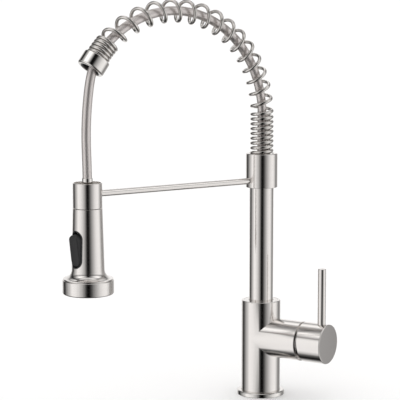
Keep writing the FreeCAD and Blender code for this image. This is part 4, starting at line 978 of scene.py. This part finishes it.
def make_bezel():
    loops = []
    for inset, lift in BEZEL_SECTION:
        loop = []
        for y, z in oval(OPENING_LENGTH - 2 * inset, OPENING_WIDTH - 2 * inset):
            height = ROCKER_CENTRE + z
            skin = math.sqrt(wall_radius(height) ** 2 - y * y)
            loop.append((BEZEL_BACK if lift is None else skin + lift, y, height))
        loops.append(loop)
    bezel = skinned(loops, HEAD, ends=False)
    bezel = carved(bezel, [drill(PIN_HOLE, -OPENING_WIDTH, OPENING_WIDTH, ROCKER_PIN, 24)])
    piece("rocker_bezel", bezel, "spray_head", GLOSS_BLACK, ["button_bezel"])


def make_rocker():
    width = OPENING_WIDTH - 2 * BEZEL_WALL - 2 * ROCKER_GAP
    centre = ROCKER_CENTRE + ROCKER_SHIFT
    foot = centre - ROCKER_LENGTH / 2
    head = centre + ROCKER_LENGTH / 2
    low_face = wall_radius(foot) + BEZEL_PROUD
    high_face = wall_radius(head) + BEZEL_PROUD + ROCKER_PROUD

    def face(y, height):
        """The pressed face: leaning out to a rounded nose at the top, and crowned a little across."""
        nose = head - ROCKER_NOSE
        lean = between(low_face, high_face, (height - foot) / (nose - foot))
        over = max(height - nose, 0)
        drop = ROCKER_NOSE - math.sqrt(max(ROCKER_NOSE ** 2 - over ** 2, 0))
        toe = max(foot + ROCKER_TOE - height, 0)
        return lean - drop - toe * toe * 0.12 - ROCKER_CROWN * (2 * y / width) ** 2

    rim = [ROCKER_EDGE * (1 - math.cos(math.radians(angle))) for angle in (0, 22.5, 45, 67.5, 90)]
    loops = [[(ROCKER_BACK, y, centre + z) for y, z in oval(ROCKER_LENGTH, width)]]
    for inset in rim + [2.4, 3.6, 4.8, 5.6]:
        depth = ROCKER_EDGE - math.sqrt(ROCKER_EDGE ** 2 - max(ROCKER_EDGE - inset, 0) ** 2)
        outline = oval(ROCKER_LENGTH - 2 * inset, width - 2 * inset)
        loops.append([(face(y, centre + z) - depth, y, centre + z) for y, z in outline])
    rocker = skinned(loops, HEAD)
    rocker = carved(rocker, [drill(PIN_HOLE, -OPENING_WIDTH, OPENING_WIDTH, ROCKER_PIN, 24)])
    finger = bar(1.2, 2.3, ROCKER_BACK + 0.5, HEAD @ shift(0, 0, ROCKER_CENTRE) @ turn(90, "Y"), 0.3, 24)
    piece("spray_rocker", joined([rocker, finger]), "rocker", CHARCOAL, ["rocker_button"])


FACE_EDGE_TOP = 1.6
FACE_EDGE_FOOT = 2.2
FACE_WALL = 2.5
FACE_LIP = 0.6
FACE_WEB = 2
AERATOR_SEAT = 1.2


def make_face():
    bore, outer, foot, top = size("face_ring", HEAD)
    plate_foot = size("spray_plate", HEAD)[2]
    inside = outer - FACE_WALL
    lip = inside - FACE_LIP
    web = top - FACE_WEB
    face = turned([
        (lip, foot, 0.3), (outer, foot, FACE_EDGE_FOOT), (outer, top, FACE_EDGE_TOP), (bore, top),
        (bore, web), (inside, web), (inside, plate_foot), (lip, plate_foot),
    ], HEAD, 144)
    piece("spray_face_ring", face, "spray_head", BRUSHED, ["face_ring"])

    make_nozzles(plate_foot)
    inner, outer, foot, top = size("aerator", HEAD)
    screen_foot, screen_top = size("aerator_screen", HEAD)[2:]
    seat = outer - AERATOR_SEAT
    aerator = turned([
        (inner, foot, 0.3), (outer, foot, 0.4), (outer, top), (seat, top), (seat, screen_foot),
        (inner, screen_foot),
    ], HEAD, 64)
    piece("aerator_shell", aerator, "spray_head", ACETAL, ["aerator"])
    make_screen(size("aerator_screen", HEAD)[1], screen_foot, screen_top)


# The nozzles, as (diameter of their circle, how many)
NOZZLE_RINGS = [(26, 12), (33.5, 16), (41, 20)]
NOZZLE_BORE = 0.45
NOZZLE_TIP = 0.8
NOZZLE_ROOT = 1.1


def make_nozzles(plate_foot):
    """The rubber mat behind the plate, with a small tapered nozzle through each hole."""
    inner, outer, foot, top = size("nozzle_mat", HEAD)
    shapes = [turned(tube(inner, outer, plate_foot + 3.2, top, 0.2), HEAD, 64)]
    for circle, count in NOZZLE_RINGS:
        for number in range(count):
            place = HEAD @ turn(360 * number / count, "Z") @ shift(circle / 2, 0, 0)
            shapes.append(turned([
                (NOZZLE_BORE, foot, 0.15), (NOZZLE_TIP, foot, 0.15), (NOZZLE_ROOT, plate_foot + 0.6),
                (NOZZLE_ROOT, plate_foot + 3.3), (NOZZLE_BORE, plate_foot + 3.3),
            ], place, 10))
    piece("nozzle_mat_soft", joined(shapes), "spray_head", SILICONE, ["nozzle_mat"])


SCREEN_PITCH = 1.1
SCREEN_WIRE = 0.17
SCREEN_LAYER = 0.16


def make_screen(radius, foot, top):
    """The aerator's mesh: two layers of crossing wires inside a rim."""
    shapes = [turned(tube(radius - 0.5, radius, foot, top, 0.15), HEAD, 48)]
    count = int((radius - 0.8) / SCREEN_PITCH)
    middle = (foot + top) / 2
    for layer, lie in ((-SCREEN_LAYER, turn(-90, "X")), (SCREEN_LAYER, turn(90, "Y"))):
        for number in range(-count, count + 1):
            aside = number * SCREEN_PITCH
            half = math.sqrt((radius - 0.4) ** 2 - aside ** 2)
            x, y = (aside, -half) if layer < 0 else (-half, aside)
            place = HEAD @ shift(x, y, middle + layer) @ lie
            shapes.append(drill(SCREEN_WIRE, 0, 2 * half, place, 6))
    piece("aerator_mesh", joined(shapes), "spray_head", STEEL, ["aerator_screen"])


def make_ferrule():
    inner, outer, foot, top = size("hose_ferrule", HOLDER)
    groove = (foot + top) / 2 + 5
    ferrule = turned([
        (inner, foot, 0.1), (outer, foot, 0.3), (outer, groove - 1), (outer - 0.4, groove - 0.6),
        (outer - 0.4, groove + 0.6), (outer, groove + 1), (outer, top, 0.5), (inner, top, 0.1),
    ], HOLDER, 64)
    piece("hose_crimp", ferrule, "hose_end", POLISHED, ["hose_ferrule"])


# ---------------------------------------------------------------------------------------------
# Finishes of the CAD pieces that stay, and the studio
# ---------------------------------------------------------------------------------------------


def finish_inner_pieces():
    """Every CAD piece that stays gets its slot's finish."""
    for part in frame["record"]["subparts"]:
        made = frame["nodes"][part["node"]]
        for holder in made.material_slots:
            holder.material = FINISH_OF_SLOT[part["material_slot"]]


# The studio's walls, as (degrees to the right of the camera, brightness)
WALLS = [
    (-180, 0.95), (-152, 0.80), (-137, 0.20), (-127, 0.01), (-119, 0.05), (-108, 0.28), (-89, 0.60),
    (-71, 1.02), (-55, 0.98), (-40, 0.82), (-25, 0.56), (-12, 0.25), (-4, 0.05), (2, 0.0), (11, 0.0),
    (17, 0.04), (24, 0.13), (32, 0.29), (42, 0.45), (51, 0.63), (63, 0.84), (77, 0.96), (92, 1.0),
    (104, 0.82), (117, 0.42), (130, 0.22), (146, 0.40), (180, 0.95),
]
# From straight down to straight up, as (sine of the height angle, share of the walls' light)
WALL_SHARE = [
    (-1.0, 0.0), (-0.86, 0.18), (-0.76, 0.68), (-0.60, 1.0), (0.30, 1.05), (0.42, 0.80), (0.49, 0.22),
    (0.56, 0.60), (0.66, 1.0), (0.78, 1.5), (0.84, 0.9), (0.89, 0.3), (0.95, 0.1),
]
CEILING = [(0.82, 0.0), (0.88, 0.15), (0.93, 0.7), (0.97, 0.8), (1.0, 0.35)]
STUDIO_WARMTH = (1.0, 0.994, 0.99)
SOFT_LIGHT = 1.12
FLOOR_RADIUS = 60


def make_studio():
    world = bpy.data.worlds.new("studio")
    bpy.context.scene.world = world
    bpy.context.scene.view_settings.view_transform = "Standard"
    nodes = Nodes(world)
    background = nodes.tree.nodes["Background"]
    camera_angle = math.atan2(CAMERA_PLACE.y, CAMERA_PLACE.x)
    way = nodes.add("ShaderNodeTexCoord", {}, {}, "Generated")
    facing = nodes.add("ShaderNodeVectorRotate", {"rotation_type": "Z_AXIS"},
                       {"Vector": way, "Angle": -camera_angle})
    parts = nodes.tree.nodes.new("ShaderNodeSeparateXYZ")
    nodes.feed(parts, "Vector", facing)
    across, beside, height = (Link(nodes, parts.outputs[axis]) for axis in "XYZ")
    angle = nodes.add("ShaderNodeMath", {"operation": "ARCTAN2"}, {0: beside, 1: across})
    walls = nodes.ramp(angle * (0.5 / math.pi) + 0.5,
                       [(0.5 + degrees / 360, light) for degrees, light in WALLS])
    rise = height * 0.5 + 0.5
    share = nodes.ramp(rise, [(0.5 + sine / 2, light) for sine, light in WALL_SHARE])
    ceiling = nodes.ramp(rise, [(0.5 + sine / 2, light) for sine, light in CEILING])
    bright = walls * share + ceiling
    seen_in_metal = nodes.add("ShaderNodeLightPath", {}, {}, "Is Glossy Ray")
    light = bright * seen_in_metal + (1 - seen_in_metal) * SOFT_LIGHT
    nodes.feed(background, "Color", (*STUDIO_WARMTH, 1))
    nodes.feed(background, "Strength", light)


def make_floor():
    shape = bmesh.new()
    bmesh.ops.create_circle(shape, cap_ends=True, segments=64, radius=FLOOR_RADIUS)
    floor = as_object("floor", shape)
    floor.data.materials.append(moulded("pale floor", (0.95, 0.95, 0.95), (0.96, 0.96, 0.96), 0.7, 400))
    floor.visible_glossy = False


make_camera()
make_hose()
make_base()
make_valve_body()
make_cartridge_front()
make_round("swivel_gland", "gland_ring", VALVE, "valve", BRUSHED, 0.4)
make_column()
make_collar_and_rod()
make_spring()
make_end_nut()
make_ferrule()
make_head_shell()
make_bezel()
make_rocker()
make_face()
make_handle()
finish_inner_pieces()
make_studio()
make_floor()
